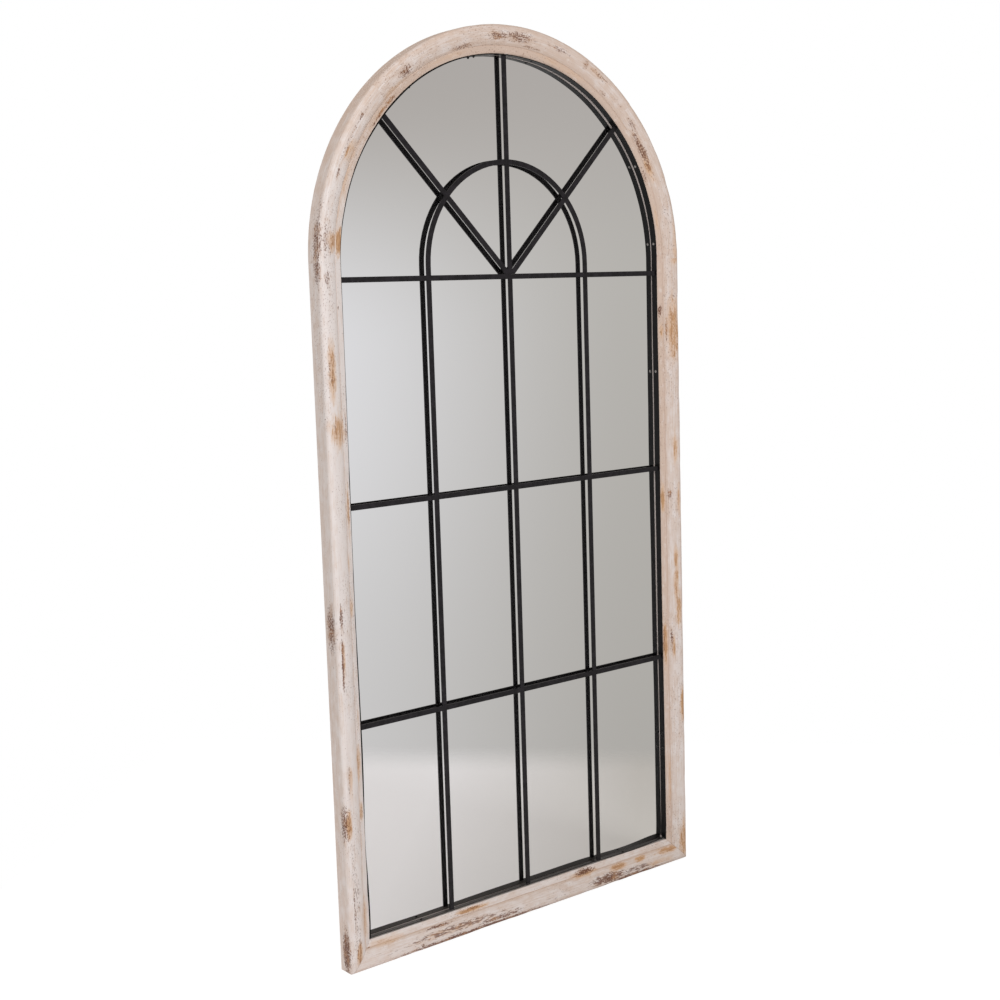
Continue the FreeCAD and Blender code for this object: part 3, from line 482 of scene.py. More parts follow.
# Rubbed, stained and raked places of each piece: along it (mm, or degrees round the arch), across, half
# length, half width, strength. thinner and bevelThin shift how much wood shows, at one end and the other.
# joints is how plainly each end's joint line shows, lean how far the lip runs out of true (along, mm)
woodPieces = {
    "left_stile": {
        "run": "stile", "side": -1, "seed": 3, "thinner": (0.06, -0.1), "bevelThin": (-0.44, -0.34),
        "joints": (0.4, 0.05),
        "lean": ((54, 0), (80, 1.5), (110, 1.3), (160, .6), (220, 0), (400, .2), (500, .8), (600, 0),
                 (760, 0), (930, .3), (1000, 1.2), (1100, 1.8), (1240, 2.1), (1342, 2.4)),
        "bare": [(296, 43, 34, 9, .72), (618, 49, 52, 5, .42), (1148, 53, 74, 12, .58),
                 (1038, 64, 46, 28, .54), (1042, 56, 42, 8, .56), (100, 78, 66, 12, .42),
                 (35, 57, 36, 11, .62), (310, 83, 22, 8, .6), (405, 81, 50, 10, .5), (380, 52, 48, 7, .42),
                 (706, 80, 22, 10, .5), (890, 85, 66, 5, .55), (790, 77, 24, 6, .3), (500, 86, 40, 4, .35),
                 (1330, 28, 46, 10, .1), (40, 22, 50, 14, .1)],
        "fleck": [(40, 22, 60, 17, 1.0), (298, 34, 52, 16, .8), (610, 46, 76, 3, 1.0), (695, 47, 32, 5, .9),
                  (672, 20, 60, 18, .85), (1332, 28, 50, 15, .8), (1316, 50, 22, 9, .7),
                  (1296, 57, 80, 14, .42), (130, 48, 76, 3, .7), (60, 54, 80, 15, .46),
                  (210, 50, 90, 9, .42), (150, 57, 60, 12, .35), (1040, 87, 40, 4, .7), (380, 48, 56, 4, .6),
                  (1148, 46, 50, 3, .6), (310, 86, 22, 6, .5), (890, 88, 70, 3, .6), (1060, 32, 12, 4, .5),
                  (1262, 81, 6, 2, .9)],
        "rake": [(140, 56, 100, 10, .6), (50, 58, 60, 12, .5), (672, 22, 56, 17, .6), (1148, 54, 60, 11, .6),
                 (1038, 54, 30, 8, .6), (610, 48, 70, 5, .8), (40, 22, 54, 16, .8), (1335, 28, 40, 12, .6)],
    },
    "right_stile": {
        "run": "stile", "side": 1, "seed": 5, "thinner": (0.18, 0.44), "joints": (0.3, 0.04),
        "lean": ((54, 0), (80, -1.5), (330, -1.5), (410, -1.2), (500, -.3), (720, 0), (850, .35), (940, .2),
                 (1020, -.35), (1160, -.3), (1240, -.6), (1342, -1.3)),
        "bare": [(44, 48, 66, 15, .56), (190, 81, 76, 6, .42), (360, 43, 46, 11, .78), (500, 86, 56, 7, .75),
                 (495, 65, 30, 5, .55), (575, 51, 50, 10, .56), (640, 57, 70, 8, .54), (690, 57, 32, 7, .66),
                 (825, 86, 36, 7, .75), (820, 47, 44, 7, .5), (935, 55, 42, 8, .55), (1192, 54, 84, 20, .64),
                 (1190, 83, 20, 7, .5), (1340, 50, 14, 12, .45), (820, 22, 80, 11, .6),
                 (240, 14, 90, 10, .5), (640, 36, 420, 6, .24)],
        "fleck": [(1262, 50, 10, 22, .5), (1264, 72, 8, 6, .5), (1192, 71, 36, 4, .75), (508, 70, 38, 5, .8),
                  (833, 70, 15, 7, .9), (1232, 86, 18, 8, .9), (500, 90, 50, 3, .7), (1120, 18, 50, 11, .9),
                  (60, 20, 44, 12, .9), (560, 26, 30, 8, .6), (250, 52, 12, 12, .3)],
        "rake": [(1192, 70, 40, 5, .6), (640, 60, 60, 6, .3)],
    },
    "bottom_rail": {
        "run": "rail", "seed": 7, "thinner": (0.24, 0.32), "bevelThin": (-0.5, -0.48),
        "joints": (0.25, 0.2),
        "bare": [(-152, 85, 48, 6, .8), (-205, 60, 120, 3, .42), (-190, 55, 130, 3, .36),
                 (148, 80, 42, 10, .62), (243, 69, 30, 9, .66), (310, 70, 23, 8, .66), (392, 69, 46, 9, .66),
                 (-360, 80, 50, 13, .4), (360, 50, 50, 8, .4), (208, 50, 50, 9, .3)],
        # the long fleck and rake marks at 41 and 42 across darken the rail's lower round edge, which faces
        # down: brown stain, and painted shade of that edge
        "fleck": [(-404, 79, 4, 2.5, 1.0), (-240, 74, 42, 4, .9), (-285, 46, 5, 6, 1.0),
                  (-90, 50, 76, 6, .75), (150, 84, 36, 9, 1.0), (212, 52, 64, 13, .8), (292, 52, 54, 8, .45),
                  (-150, 41, 250, 6, 1.0), (290, 41, 120, 6, .9), (-152, 87, 40, 4, .6),
                  (-160, 64, 110, 3, .6)],
        "rake": [(-200, 59, 160, 9, 1.0), (-90, 52, 90, 8, .8), (208, 53, 66, 13, 1.15),
                 (292, 52, 64, 9, .9), (50, 50, 120, 6, .4), (-150, 42, 250, 7, .9), (290, 42, 120, 7, .9),
                 (-330, 56, 90, 9, .4), (-240, 74, 50, 4, .7)],
    },
    "right_haunch": {
        "run": "arch", "span": (0, 45), "seed": 9, "thinner": (0.44, 0.52), "joints": (0.04, 0.0),
        "lean": ((0, -1.3), (3, -1.4), (10, -1.3), (18, -.6), (28, -.5), (36, 0), (45, .9)),
        "bare": [(27, 71, 44, 9, .58), (31, 68, 56, 8, .46), (2, 46, 18, 9, .45), (5, 45, 50, 9, .36),
                 (12, 84, 60, 5, .36), (22, 20, 50, 11, .5)],
        "fleck": [(32, 69, 70, 10, .74), (38, 65, 30, 8, .5), (25.5, 86, 27, 8, .62), (40.5, 63, 25, 6, .65),
                  (13, 60, 42, 8, .42), (12, 24, 40, 10, .8)],
        "rake": [(32, 69, 72, 10, .85), (40.5, 62, 34, 8, .6)],
    },
    "right_crown": {
        "run": "arch", "span": (45, 90), "seed": 13, "thinner": (0.52, 0.54), "joints": (0.0, 0.0),
        "lean": ((45, .9), (54, .5), (62, 1.3), (74, 1.8), (82, 2.6), (90, 2.0)),
        "bare": [(70, 82, 100, 9, .34), (57.5, 51, 36, 8, .34), (87, 57, 40, 9, .3)],
        "fleck": [(53.5, 72, 13, 6, .6), (57.5, 51, 38, 8, .6), (63, 52, 8, 12, .7), (82, 72, 36, 4, .55),
                  (83.5, 89, 8, 5, .6), (86.5, 58, 54, 14, .72), (72.5, 55, 38, 7, .55),
                  (48, 62, 30, 7, .4)],
        "rake": [(86, 58, 52, 12, .6), (72.5, 55, 40, 7, .6), (82, 72, 36, 4, .6)],
    },
    "left_crown": {
        "run": "arch", "span": (90, 135), "seed": 17, "thinner": (0.5, 0.42), "joints": (0.0, 0.0),
        "lean": ((90, 2.0), (100, 1.4), (108, 1.1), (118, 1.5), (124, 2.2), (130, 3.1), (135, 3.4)),
        "bare": [(130.5, 73, 50, 8, .4), (110, 84, 80, 6, .3), (95, 57, 34, 9, .28), (134, 86, 30, 5, .3)],
        "fleck": [(93.5, 58, 36, 12, .74), (105, 72, 42, 7, .68), (125.3, 62, 24, 14, .78),
                  (133, 86, 30, 5, .85), (106, 85, 8, 4, .5)],
        "rake": [(93.5, 58, 36, 11, .6), (105, 72, 44, 6, .5)],
    },
    "left_haunch": {
        "run": "arch", "span": (135, 180), "seed": 19, "thinner": (0.42, -0.08), "bevelThin": (0.0, -0.34),
        "joints": (0.0, 0.05),
        "lean": ((135, 3.4), (142, 3.6), (155, 3.9), (165, 3.7), (172, 3.2), (180, 2.4)),
        "bare": [(138, 86, 50, 5, .34), (152, 67, 30, 17, .42), (152, 58, 25, 5, .55),
                 (174.6, 87, 32, 9, .95), (174.8, 68, 26, 15, .6), (161, 81, 74, 8, .34),
                 (174.5, 29, 50, 11, .16)],
        "fleck": [(137.5, 87, 44, 4, .85), (143, 52, 11, 5, .85), (141, 53, 26, 4, .5),
                  (158.4, 53, 18, 5, .8), (174, 48, 60, 8, .62), (175.5, 28, 76, 17, .76),
                  (167, 30, 34, 9, .55), (152, 56, 26, 5, .5), (177, 58, 30, 8, .5), (172, 54, 64, 12, .4),
                  (150, 52, 76, 5, .55)],
        "rake": [(137, 86, 40, 4, .6), (174.8, 29, 50, 12, .4)],
    },
}


def makeWoodPiece(name, piece, m, w, material):
    # the section carried along a straight line or an arc, each point let in by knocks, wear and the joint
    section = mouldingSection(m)
    across = np.concatenate([[0], np.cumsum(np.hypot(*np.diff(section, axis=0).T))])
    tangent = np.roll(section, -1, 0) - np.roll(section, 1, 0)
    outward = np.stack([-tangent[:, 1], tangent[:, 0]], -1)
    outward /= np.linalg.norm(outward, axis=1)[:, None]
    run, seed = piece["run"], piece["seed"]
    if run == "stile":
        low, high, scale = 0.0, m["archCentre"], 1.0
    elif run == "rail":
        low, high, scale = -m["halfWidth"], m["halfWidth"], 1.0
    else:
        scale = math.radians(1) * m["meanRadius"]
        low, high = (scale * a for a in piece["span"])
    length = high - low
    ends = np.array(m["endSteps"])
    middle = np.linspace(m["endGap"], length - m["endGap"], int(length / m["step"]))
    t = np.concatenate([ends, middle, length - ends[::-1]]) / length
    inset, height = (np.repeat(column[None], len(t), 0) for column in section.T)
    # the lip does not run quite true: the bevel widens by lean, most at the lip and not at all at the quirk
    if "lean" in piece:
        places, amounts = np.array(piece["lean"]).T
        foot = m["lipFoot"][0] if run == "stile" else low  # where the lip starts, above the mitre
        lean = np.interp(foot + t * (high - foot), places * scale, amounts)
        bed = across[np.argmax(section[:, 0] * (across > w["bedFrom"]))]
        reach = smooth(across, *w["leanOver"]) * (across < bed + w["leanPast"])
        inset = inset + lean[:, None] * reach[None]

    def alongPath(insets):
        part = t[:, None]
        if run == "stile":
            return insets + part * (high - insets)  # mitred foot
        if run == "rail":
            return (m["halfWidth"] - insets) * (2 * part - 1)  # mitred at both ends
        return low + part * length + 0 * insets

    def noise(patch, step):
        return latticeNoise(along, over, patch, seed + step)

    along = alongPath(inset)
    over = np.repeat(across[None], len(t), 0)
    torn = sum(share * noise(patch, step) for step, (patch, share) in enumerate(w["tears"]))
    bare, fleck, raked = (
        spots(along, over, [(place * scale, *rest) for place, *rest in piece[key]], torn, w)
        for key in ("bare", "fleck", "rake")
    )
    showing = smooth(over, *w["shownFrom"]) * (1 - smooth(over, *w["shownTo"]))
    pitted = w["pitLeast"] + w["pitMore"] * smooth(noise(w["pitPatch"], 5), *w["pitOver"])
    fleck = np.maximum(fleck, pitted * showing)  # a few pits everywhere, more in some places
    fromEnd = np.minimum(t, 1 - t)[:, None] * length + 0 * over
    jointShare = np.where(t < 0.5, *piece["joints"])[:, None]
    seamed = jointShare * np.exp(-(fromEnd / w["seamHalf"]) ** 2) * (over < w["seamTo"])
    edge = sum(share * np.exp(-((over - place) / half) ** 2) for place, half, share in w["edges"])
    wear = edge * smooth(noise(w["wearPatch"], 2), *w["wearOver"])
    letIn = w["waveDeep"] * noise(w["wavePatch"], 3) + w["wearDeep"] * wear
    letIn += dents(along, over, (low, high), seed + 4, w)
    letIn += w["bareDeep"] * bare + w["fleckDeep"] * fleck * torn + w["seamDeep"] * seamed
    inset = inset - showing * letIn * outward[:, 0]
    height = height - showing * letIn * outward[:, 1]
    way = alongPath(inset)
    if run == "stile":
        x, z = piece["side"] * (m["halfWidth"] - inset), way
        grain = np.stack([z, x, -height], -1)
    elif run == "rail":
        x, z = way, inset
        grain = np.stack([x, z, -height], -1)
    else:
        angle = way / m["meanRadius"]
        radius = m["halfWidth"] - inset
        x, z = radius * np.cos(angle), m["archCentre"] + radius * np.sin(angle)
        lie = math.radians(sum(piece["span"]) / 2 + 90)  # the board's grain runs straight, along the chord
        lengthwise = x * math.cos(lie) + z * math.sin(lie)
        crosswise = z * math.cos(lie) - x * math.sin(lie)
        grain = np.stack([lengthwise, crosswise, -height], -1)
    points = np.stack([x, -height, z], -1).reshape(-1, 3) * mm
    quads, caps = tubeFaces(np.arange(along.size).reshape(along.shape))
    if signedVolume(points, quads) < 0:
        quads, caps = quads[:, ::-1], [cap[::-1] for cap in caps]
    mesh = bpy.data.meshes.new(name + "_washed")
    mesh.from_pydata(points.tolist(), [], quads.tolist() + caps)
    mesh.shade_smooth()
    mesh.set_sharp_from_angle(angle=sharpAngle)
    thinner, bevelThin = (
        np.interp(t, (0, 1), piece.get(key, (0, 0)))[:, None] for key in ("thinner", "bevelThin")
    )
    thin = np.interp(over, w["thinAt"], w["thin"]) + thinner + bevelThin * smooth(over, *w["bevelOver"])
    # painted shade: the bed under the iron band, from 103 across on, darkened with the joint colour
    bedShade = w["bedShade"] * smooth(over, *w["bedOver"]) * (over < w["rawFrom"])
    stroke = np.stack([along, over, np.full_like(along, w["pieceApart"] * seed)], -1)
    layers = {
        "bare": bare, "fleck": fleck, "thin": thin, "raw": np.where(over > w["rawFrom"], 1.0, 0.0),
        "jointAndBedShade": np.maximum(seamed, bedShade), "rake": raked, "stroke": stroke, "grain": grain,
    }
    for key, values in layers.items():
        addLayer(mesh, key, values)
    mesh.materials.append(material)
    made = bpy.data.objects.new(name + "_washed", mesh)
    scene.collection.objects.link(made)
    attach(made, "frame")
    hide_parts(name)


washedFirMaterial = makeWashedFir(washedFir)
for pieceName, piece in woodPieces.items():
    makeWoodPiece(pieceName, piece, moulding, woodWear, washedFirMaterial)
print("wood made")

# Flat iron bars, brushed with satin black: a deep black with a soft grey sheen and a little unevenness
blackIron = {
    # the pale grey laid on the sill's top is dust and painted light, for the light from above
    "name": "flat iron bars, satin black paint", "coat": "#1A181A", "dust": "#262327", "dustAndTopLight": "#625E5B",
    "brushMark": 9.0, "grit": 1.6,  # mm
    "dustOver": (0.4, 0.7), "roughOver": (0.3, 0.7), "rough": (0.26, 0.4), "specular": 0.17,
    "bump": (0.1, 0.0004),
}
# The band and sill strip behind the lip keep a deeper black: painted shade, for the lip's shadow over them
shadedBandIron = {**blackIron, "name": "iron band, black paint", "coat": "#0B0A0A", "dust": "#151314"}


def makeBlackIron(b):
    material, tree, shader = newMaterial(b["name"])
    place = objectPlace(tree)
    marks = clouds(tree, place, b["brushMark"], 3.0)
    grit = clouds(tree, place, b["grit"], 2.0)
    colour = mixColour(tree, mapTo(tree, marks, b["dustOver"]), b["coat"], b["dust"])
    dustAndTopLight = addNode(tree, "Attribute", attribute_name="dustAndTopLight").outputs["Fac"]  # grey laid on the sill's top: dust, and painted light for the light from above
    colour = mixColour(tree, dustAndTopLight, colour, b["dustAndTopLight"])
    feed(tree, shader, {
        "Base Color": colour, "Roughness": mapTo(tree, marks, b["roughOver"], b["rough"]),
        "Specular IOR Level": b["specular"], "Normal": relief(tree, grit, b["bump"]),
    })
    return material


# Silvered float glass: a clear bright mirror with a faint uneven polish
mirrorGlass = {
    "silver": "#EDEDED", "cloud": 120.0,  # mm
    "roughOver": (0.3, 0.7), "rough": (0.004, 0.014),
}


def makeMirrorGlass(g):
    material, tree, shader = newMaterial("silvered float glass")
    cloud = clouds(tree, objectPlace(tree), g["cloud"], 2.0)
    rough = mapTo(tree, cloud, g["roughOver"], g["rough"])
    feed(tree, shader, {"Base Color": linear(g["silver"]), "Roughness": rough, "Metallic": 1.0})
    return material


# Hardboard, pressed from wood fibre: warm brown, matted with short darker and lighter fibres
hardboard = {
    "board": "#8F6B49", "fibre": "#6E4F35", "pale": "#A9845F",
    "fibreSize": (14.0, 2.2), "patch": 150.0, "turns": (0.35, 1.25, 2.3),  # mm, radians
    "fibreOver": (0.55, 0.75), "paleOver": (0.45, 0.75), "paleMost": 0.3,
    "roughOver": (0.4, 0.8), "rough": (0.6, 0.8), "bump": (0.3, 0.0003),
}


def makeHardboard(h):
    # the strongest of three layers of fibres, each turned its own way
    material, tree, shader = newMaterial("hardboard, pressed fibre")
    place = objectPlace(tree)
    scale = (1000 / h["fibreSize"][0], 1.0, 1000 / h["fibreSize"][1])
    layers = []
    for turned in h["turns"]:
        inputs = {"Vector": place, "Rotation": (0, turned, 0), "Scale": scale}
        lay = addNode(tree, "Mapping", inputs).outputs[0]
        layers.append(clouds(tree, lay, 1000.0, 2.0))
    fibres = combine(tree, layers[0], layers[1], "MAXIMUM")
    fibres = combine(tree, fibres, layers[2], "MAXIMUM")
    colour = mixColour(tree, mapTo(tree, fibres, h["fibreOver"]), h["fibre"], h["board"])
    patch = clouds(tree, place, h["patch"], 3.0)
    colour = mixColour(tree, mapTo(tree, patch, h["paleOver"], (0.0, h["paleMost"])), colour, h["pale"])
    rough = mapTo(tree, fibres, h["roughOver"], h["rough"])
    normal = relief(tree, fibres, h["bump"])
    feed(tree, shader, {"Base Color": colour, "Roughness": rough, "Normal": normal})
    return material


# Zinc plated steel of the hangers and screws: bright grey with faint straw clouds
zincPlate = {
    "zinc": "#B9BABA", "straw": "#B5AD98", "cloud": 6.0, "grain": 0.8,  # mm
    "strawOver": (0.45, 0.7), "roughOver": (0.3, 0.7), "rough": (0.28, 0.45),
}


def makeZincPlate(c):
    material, tree, shader = newMaterial("steel, bright zinc plate")
    place = objectPlace(tree)
    cloud = clouds(tree, place, c["cloud"], 2.0)
    grain = clouds(tree, place, c["grain"], 1.0)
    colour = mixColour(tree, mapTo(tree, cloud, c["strawOver"]), c["zinc"], c["straw"])
    rough = mapTo(tree, grain, c["roughOver"], c["rough"])
    feed(tree, shader, {"Base Color": colour, "Roughness": rough, "Metallic": 1.0})
    return material


# Beech dowels: pale straight grain with short darker flecks
beech = {"pale": "#C9A272", "fleck": "#A67C50", "grain": 1.2, "rough": 0.6}  # mm


def makeBeech(b):
    material, tree, shader = newMaterial("beech, turned")
    grain = clouds(tree, objectPlace(tree), b["grain"], 2.0)
    colour = mixColour(tree, grain, b["pale"], b["fleck"])
    feed(tree, shader, {"Base Color": colour, "Roughness": b["rough"]})
    return material


def eased(values, width):
    # each value replaced by the mean of this many neighbours under a bell
    bell = np.hanning(width) / np.hanning(width).sum()
    return np.convolve(np.pad(values, width // 2, mode="edge"), bell, "valid")


def addStrip(name, points, node, material, dustAndTopLight=None):
    # points is a grid (places along the strip, points round its section) in mm, closed round and capped
    number = np.arange(points.shape[0] * points.shape[1]).reshape(points.shape[:2])
    points = points.reshape(-1, 3) * mm
    side = np.roll(number, -1, 1)
    quads = np.stack([number[:-1], side[:-1], side[1:], number[1:]], -1).reshape(-1, 4)
    caps = [number[0][::-1].tolist(), number[-1].tolist()]
    mesh = bpy.data.meshes.new(name)
    mesh.from_pydata(points.tolist(), [], quads.tolist() + caps)
    if signedVolume(points, quads) < 0:
        mesh.flip_normals()
    mesh.shade_smooth()
    mesh.set_sharp_from_angle(angle=sharpAngle)
    if dustAndTopLight is not None:
        addLayer(mesh, "dustAndTopLight", dustAndTopLight)
    mesh.materials.append(material)
    strip = bpy.data.objects.new(name, mesh)
    scene.collection.objects.link(strip)
    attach(strip, "frame")
    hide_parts(node)


# Sill strip: nailed at two places, so its front edge has sprung up between them and at the right end;
# spring is how far the front edge is lifted, back the height of the back edge above the back plane
sillStrip = {
    "reach": 396.0, "front": 22.8, "foot": 52.2, "thick": 1.5,  # mm
    "alongPoints": 181, "acrossPoints": 9, "ease": 11,
    "springAt": (-396, -360, -320, -272, -160, -80, 60, 120, 170, 230, 268, 300, 340, 370, 396),  # mm along
    "spring": (2.8, 2.7, 2.4, 1.7, 2.7, 3.6, 3.3, 3.6, 3.6, 1.6, 0.2, 0.0, 1.8, 4.0, 4.4),  # mm, front edge
    "back": (10.2, 10.4, 10.4, 10.6, 10.3, 10.0, 9.7, 9.8, 9.7, 9.2, 9.0, 9.0, 9.3, 9.6, 9.6),  # mm
    "dustAndTopLight": (.5, .5, .52, .52, .46, .4, .3, .28, .26, .2, .18, .16, .12, .12, .12),  # share of grey laid on the top: dust, and painted light from above
    "backPart": 0.12,  # share of the spring that reaches the back edge
}


def sillRise(s, lift, share):
    # share is 0 at the back edge and 1 at the front edge
    return lift * (s["backPart"] + (1 - s["backPart"]) * share)


def makeSillStrip(s, material):
    # a thin flat loop (height, level) carried along x; level rises by the spring from back edge to front edge
    x = np.linspace(-s["reach"], s["reach"], s["alongPoints"])
    lift = eased(np.interp(x, s["springAt"], s["spring"]), s["ease"])[:, None]
    back = np.interp(x, s["springAt"], s["back"])[:, None]
    across = np.linspace(0, 1, s["acrossPoints"])
    share = np.concatenate([across, across[::-1]])[None]
    top = np.repeat((0.0, 1.0), s["acrossPoints"])[None] * s["thick"]
    depth = back + share * (s["front"] - back)
    level = s["foot"] + top + sillRise(s, lift, share)
    dustAndTopLight = np.interp(x, s["springAt"], s["dustAndTopLight"])[:, None] + 0 * depth
    points = np.stack(np.broadcast_arrays(x[:, None], -depth, level), -1)
    addStrip("sill_strip", points, "sill_band", material, dustAndTopLight)


# Hoop band: follows the uneven lip, sunk at the left and standing proud at the right. Each row holds the
# place up the leg (mm) or round the arch (degrees), then in mm the lip's lean, the stand-off from the lip,
# the front edge's height and the gap between the back edge and the pane
hoopStrip = {
    "inner": 396.3, "thick": 1.5, "paneFront": 8.6, "foot": 53.0, "archCentre": 1342.0,  # mm
    "rise": 6.0, "turn": 0.75, "ease": 9, "depthPoints": 6,  # steps in mm and degrees
    "leftLeg": ((53, 0, .8, 22.8, 2), (80, 1.5, 1, 22.8, 2), (110, 1.3, 1.1, 22.8, 2), (150, .7, 1, 22.8, 2),
                (190, .3, .2, 22.8, 2), (220, 0, 0, 20.9, 2), (270, 0, 0, 20.8, 2), (320, .1, 0, 22.6, 2),
                (380, .2, .9, 23, 2), (430, .4, 1.1, 23, 2), (520, .7, .3, 22.6, 2), (600, 0, .2, 22.4, 2),
                (680, 0, 0, 21, 2), (840, .2, 0, 20.8, 2), (930, .3, 0, 22, 2), (1000, 1.2, 0, 20.8, 2),
                (1100, 1.8, 0, 20.8, 2), (1240, 2.1, 0, 20.8, 2), (1342, 2.4, 0, 20.8, 2)),
    "arch": ((180, 2.4, 0, 20.8, 2), (172, 3.2, 0, 21, 2), (165, 3.7, 0, 22.4, 2.5),
             (150, 3.8, 0, 22.6, 2.5), (142, 3.6, .8, 23, 2.5), (130, 3.1, 1.1, 23, 2.5),
             (124, 2.2, .7, 23, 2.5), (112, 1.2, .8, 23, 2.5), (106, 1.2, .4, 23, 2.5),
             (100, 1.4, 0, 23.2, 2.5), (95, 1.7, 0, 23.6, 2.8), (90, 2, 0, 24.8, 3), (82, 2.6, 0, 25.6, 3),
             (74, 1.8, 0, 26.8, 3), (62, 1.3, 0, 27.4, 4.3), (54, .5, 0, 27.2, 4.5), (46, .9, 0, 27, 4.5),
             (40, .4, 0, 26.6, 3.4), (36, 0, 0, 26.3, 2.5), (28, -.5, 0, 25.7, 2.4), (18, -.6, 0, 25.1, 2.3),
             (10, -1.3, 0, 25.1, 1.6), (0, -1.3, 0, 24.2, 1.45)),
    "rightLeg": ((1342, -1.3, 0, 24.2, 1.45), (1240, -.6, 0, 24.2, 1.35), (1160, -.3, 0, 24.3, 1.5),
                 (1080, -.35, 0, 25, 1.65), (1020, -.35, 0, 25, 1.7), (940, .2, 0, 25.2, 1.8),
                 (850, .35, 0, 24.9, 2.2), (720, 0, 0, 24.2, 2.2), (640, -.1, 0, 24, 2.15),
                 (500, -.3, 0, 24.2, 1.7), (410, -1.2, 0, 23.9, 1.5), (330, -1.5, 0, 23.8, 1.4),
                 (250, -1.5, 0, 23.9, 1.1), (170, -1.5, 0, 23.9, 1), (80, -1.5, 0, 23.9, .5),
                 (53, -.2, 0, 23.9, .4)),
}


def lookUp(h, run, where, column):
    table = np.array(sorted(h[run]), float)
    return np.interp(where, table[:, 0], table[:, column])


def makeHoopStrip(h, material):
    # a thin rectangle (radius, height) carried up the left leg, over the arch and down the right leg:
    # radius = inner - lean - off, height from paneFront + gap to front
    rises = np.arange(h["foot"], h["archCentre"], h["rise"])
    turns = np.arange(180.0, -0.1, -h["turn"])
    runs = (("leftLeg", rises), ("arch", turns), ("rightLeg", rises[::-1]))
    lean, off, front, gap = (
        eased(np.concatenate([lookUp(h, run, where, column) for run, where in runs]), h["ease"])
        for column in (1, 2, 3, 4)
    )
    angle = np.radians(np.concatenate([np.full(len(rises), 180.0), turns, np.zeros(len(rises))]))[:, None]
    level = np.concatenate([rises, np.full(len(turns), h["archCentre"]), rises[::-1]])[:, None]
    depths = np.linspace(0, 1, h["depthPoints"])
    share = np.concatenate([depths, depths[::-1]])[None]
    outer = np.repeat((0.0, 1.0), h["depthPoints"])[None] * h["thick"]
    radius = (h["inner"] - lean - off)[:, None] + outer
    back = (h["paneFront"] + gap)[:, None]
    height = back + share * (front[:, None] - back)
    points = np.stack([radius * np.cos(angle), -height, level + radius * np.sin(angle)], -1)
    addStrip("hoop_strip", points, "hoop_band", material)


blackIronMaterial = makeBlackIron(blackIron)
shadedBandIronMaterial = makeBlackIron(shadedBandIron)
makeSillStrip(sillStrip, shadedBandIronMaterial)
makeHoopStrip(hoopStrip, shadedBandIronMaterial)
print("band made")

# Pin heads, blackened steel: most keep their black, a few are worn to dull grey and catch the light
pinSteel = {
    "steel": "#9C9895", "black": "#161515", "wear": 2.0,  # mm
    "bareOver": (0.75, 1.3), "roughOver": (0.3, 0.7), "rough": (0.35, 0.55), "metallic": 0.6,
}


def makePinSteel(c):
    material, tree, shader = newMaterial("steel pins, black worn thin")
    wear = clouds(tree, objectPlace(tree), c["wear"], 2.0)
    bare = addNode(tree, "Attribute", attribute_name="bare").outputs["Fac"]
    share = mapTo(tree, combine(tree, wear, bare), c["bareOver"])
    colour = mixColour(tree, share, c["black"], c["steel"])
    rough = mapTo(tree, wear, c["roughOver"], c["rough"])
    feed(tree, shader, {"Base Color": colour, "Roughness": rough, "Metallic": c["metallic"]})
    return material


pinHeads = {
    # place (mm up the leg or along the sill, degrees round the arch), mm the head stands out, share worn bare
    "leftLeg": ((1101.6, 1.3, .1), (681.8, 1.3, .1), (261.9, 1.3, .1)),
    "rightLeg": ((1101.6, 1.3, .9), (681.8, 1.0, .1), (261.9, 1.2, .3)),
    "arch": ((4.5, 1.4, 1), (28.9, 1.5, 1), (55, 1.2, .3), (79.5, 1.2, .1), (100.5, 3.4, .1), (125, 3.0, .1),
             (151.1, 1.3, .1), (175.5, 1.3, .1)),
    "sill": ((-271.8, 2.2, .1), (271.8, 1.3, .1)),
    "radius": 3.0, "sunk": 0.4, "depth": 17.2,  # mm
    "rings": (0.12, 0.35, 0.6, 0.82, 1.0, 1.0), "around": 24,  # shares of the radius, points in a ring
}


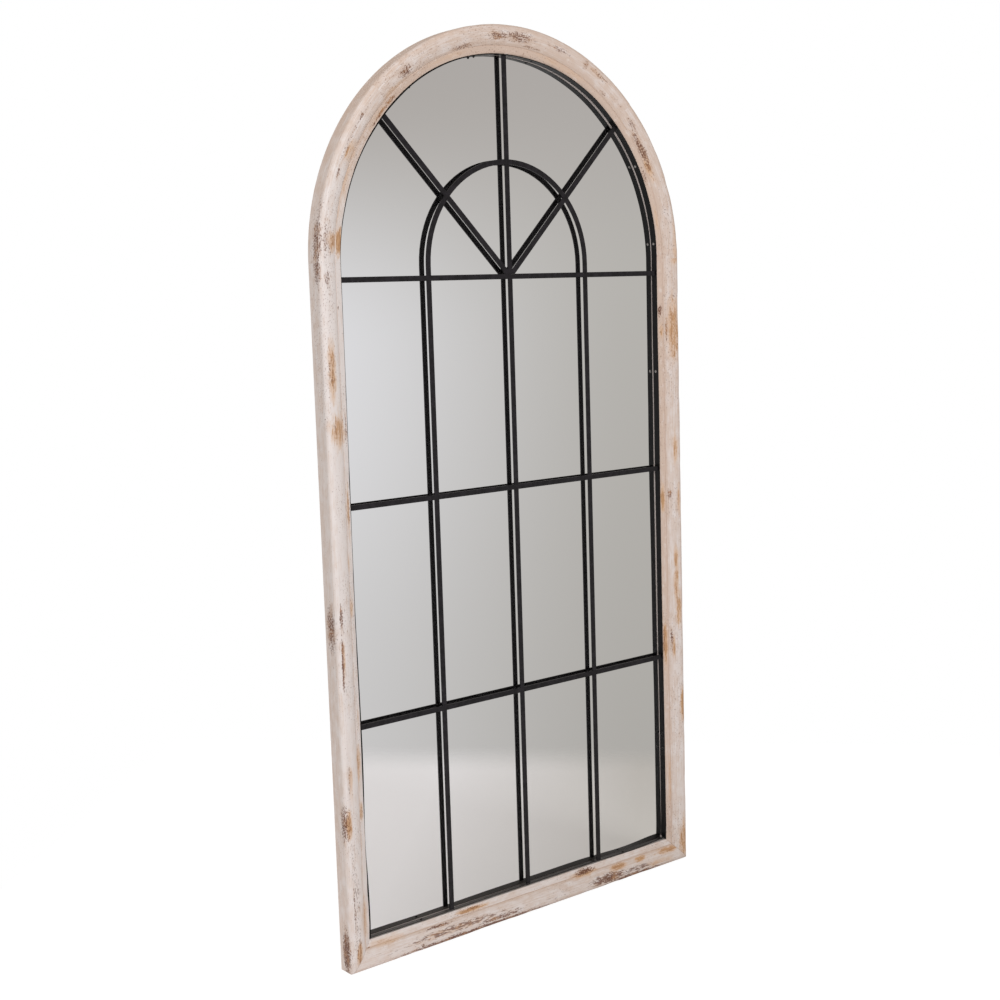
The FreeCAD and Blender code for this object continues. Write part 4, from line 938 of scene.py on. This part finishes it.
def makePinHeads(p, h, s, material):
    # domes: out from the strip by rise (1 - r^2), r from 0 to 1, closed by a rim sunk in the strip
    seats = []
    for run in ("leftLeg", "arch", "rightLeg"):
        for place, rise, worn in p[run]:
            radius = h["inner"] - lookUp(h, run, place, 1) - lookUp(h, run, place, 2)
            turn = math.radians({"leftLeg": 180.0, "rightLeg": 0.0}.get(run, place))
            way = np.array([math.cos(turn), 0, math.sin(turn)])
            level = h["archCentre"] if run == "arch" else place
            seats.append((radius * way + (0, -p["depth"], level), -way, rise, worn))
    for x, rise, worn in p["sill"]:
        lift, back = (np.interp(x, s["springAt"], s[key]) for key in ("spring", "back"))
        share = (p["depth"] - back) / (s["front"] - back)
        level = s["foot"] + s["thick"] + sillRise(s, lift, share)
        seats.append((np.array([x, -p["depth"], level]), np.array([0.0, 0.0, 1.0]), rise, worn))
    r = np.array(p["rings"])
    around = np.linspace(0, 2 * np.pi, p["around"], endpoint=False)
    points, faces, bared = [], [], []
    for place, way, rise, worn in seats:
        up = rise * (1 - r ** 2)
        up[-1] = -p["sunk"]
        first = np.array([0.0, 1.0, 0.0])
        second = np.cross(way, first)
        ring = np.cos(around)[None, :, None] * first + np.sin(around)[None, :, None] * second
        dome = place + p["radius"] * r[:, None, None] * ring + up[:, None, None] * way
        number = np.arange(r.size * around.size).reshape(r.size, -1) + sum(map(len, points))
        quads, caps = tubeFaces(number)
        faces += quads.tolist() + caps
        points.append(dome.reshape(-1, 3))
        bared.append(np.full(r.size * around.size, worn))
    mesh = bpy.data.meshes.new("pin_heads")
    mesh.from_pydata((np.concatenate(points) * mm).tolist(), [], faces)
    mesh.shade_smooth()
    addLayer(mesh, "bare", np.concatenate(bared))
    mesh.materials.append(material)
    heads = bpy.data.objects.new("pin_heads", mesh)
    scene.collection.objects.link(heads)
    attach(heads, "frame")
    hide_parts("band_pins")


makePinHeads(pinHeads, hoopStrip, sillStrip, makePinSteel(pinSteel))
print("pins made")

# Nodes that show as they are, by what they are finished with
finishes = {
    blackIronMaterial: (
        "spring_bar", "middle_bar", "lower_bar", "centre_bar", "inner_hoop", "left_ray", "right_ray",
    ),
    makeMirrorGlass(mirrorGlass): ("mirror_pane",),
    makeHardboard(hardboard): ("back_panel",),
    makeZincPlate(zincPlate): (
        "left_hanger_strap", "right_hanger_strap", "left_hanger_ring", "right_hanger_ring",
        "hanger_screws", "panel_screws",
    ),
    makeBeech(beech): ("joint_dowels",),
}
for material, names in finishes.items():
    for nodeName in names:
        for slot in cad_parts[nodeName].material_slots:
            slot.material = material
print("finishes set")
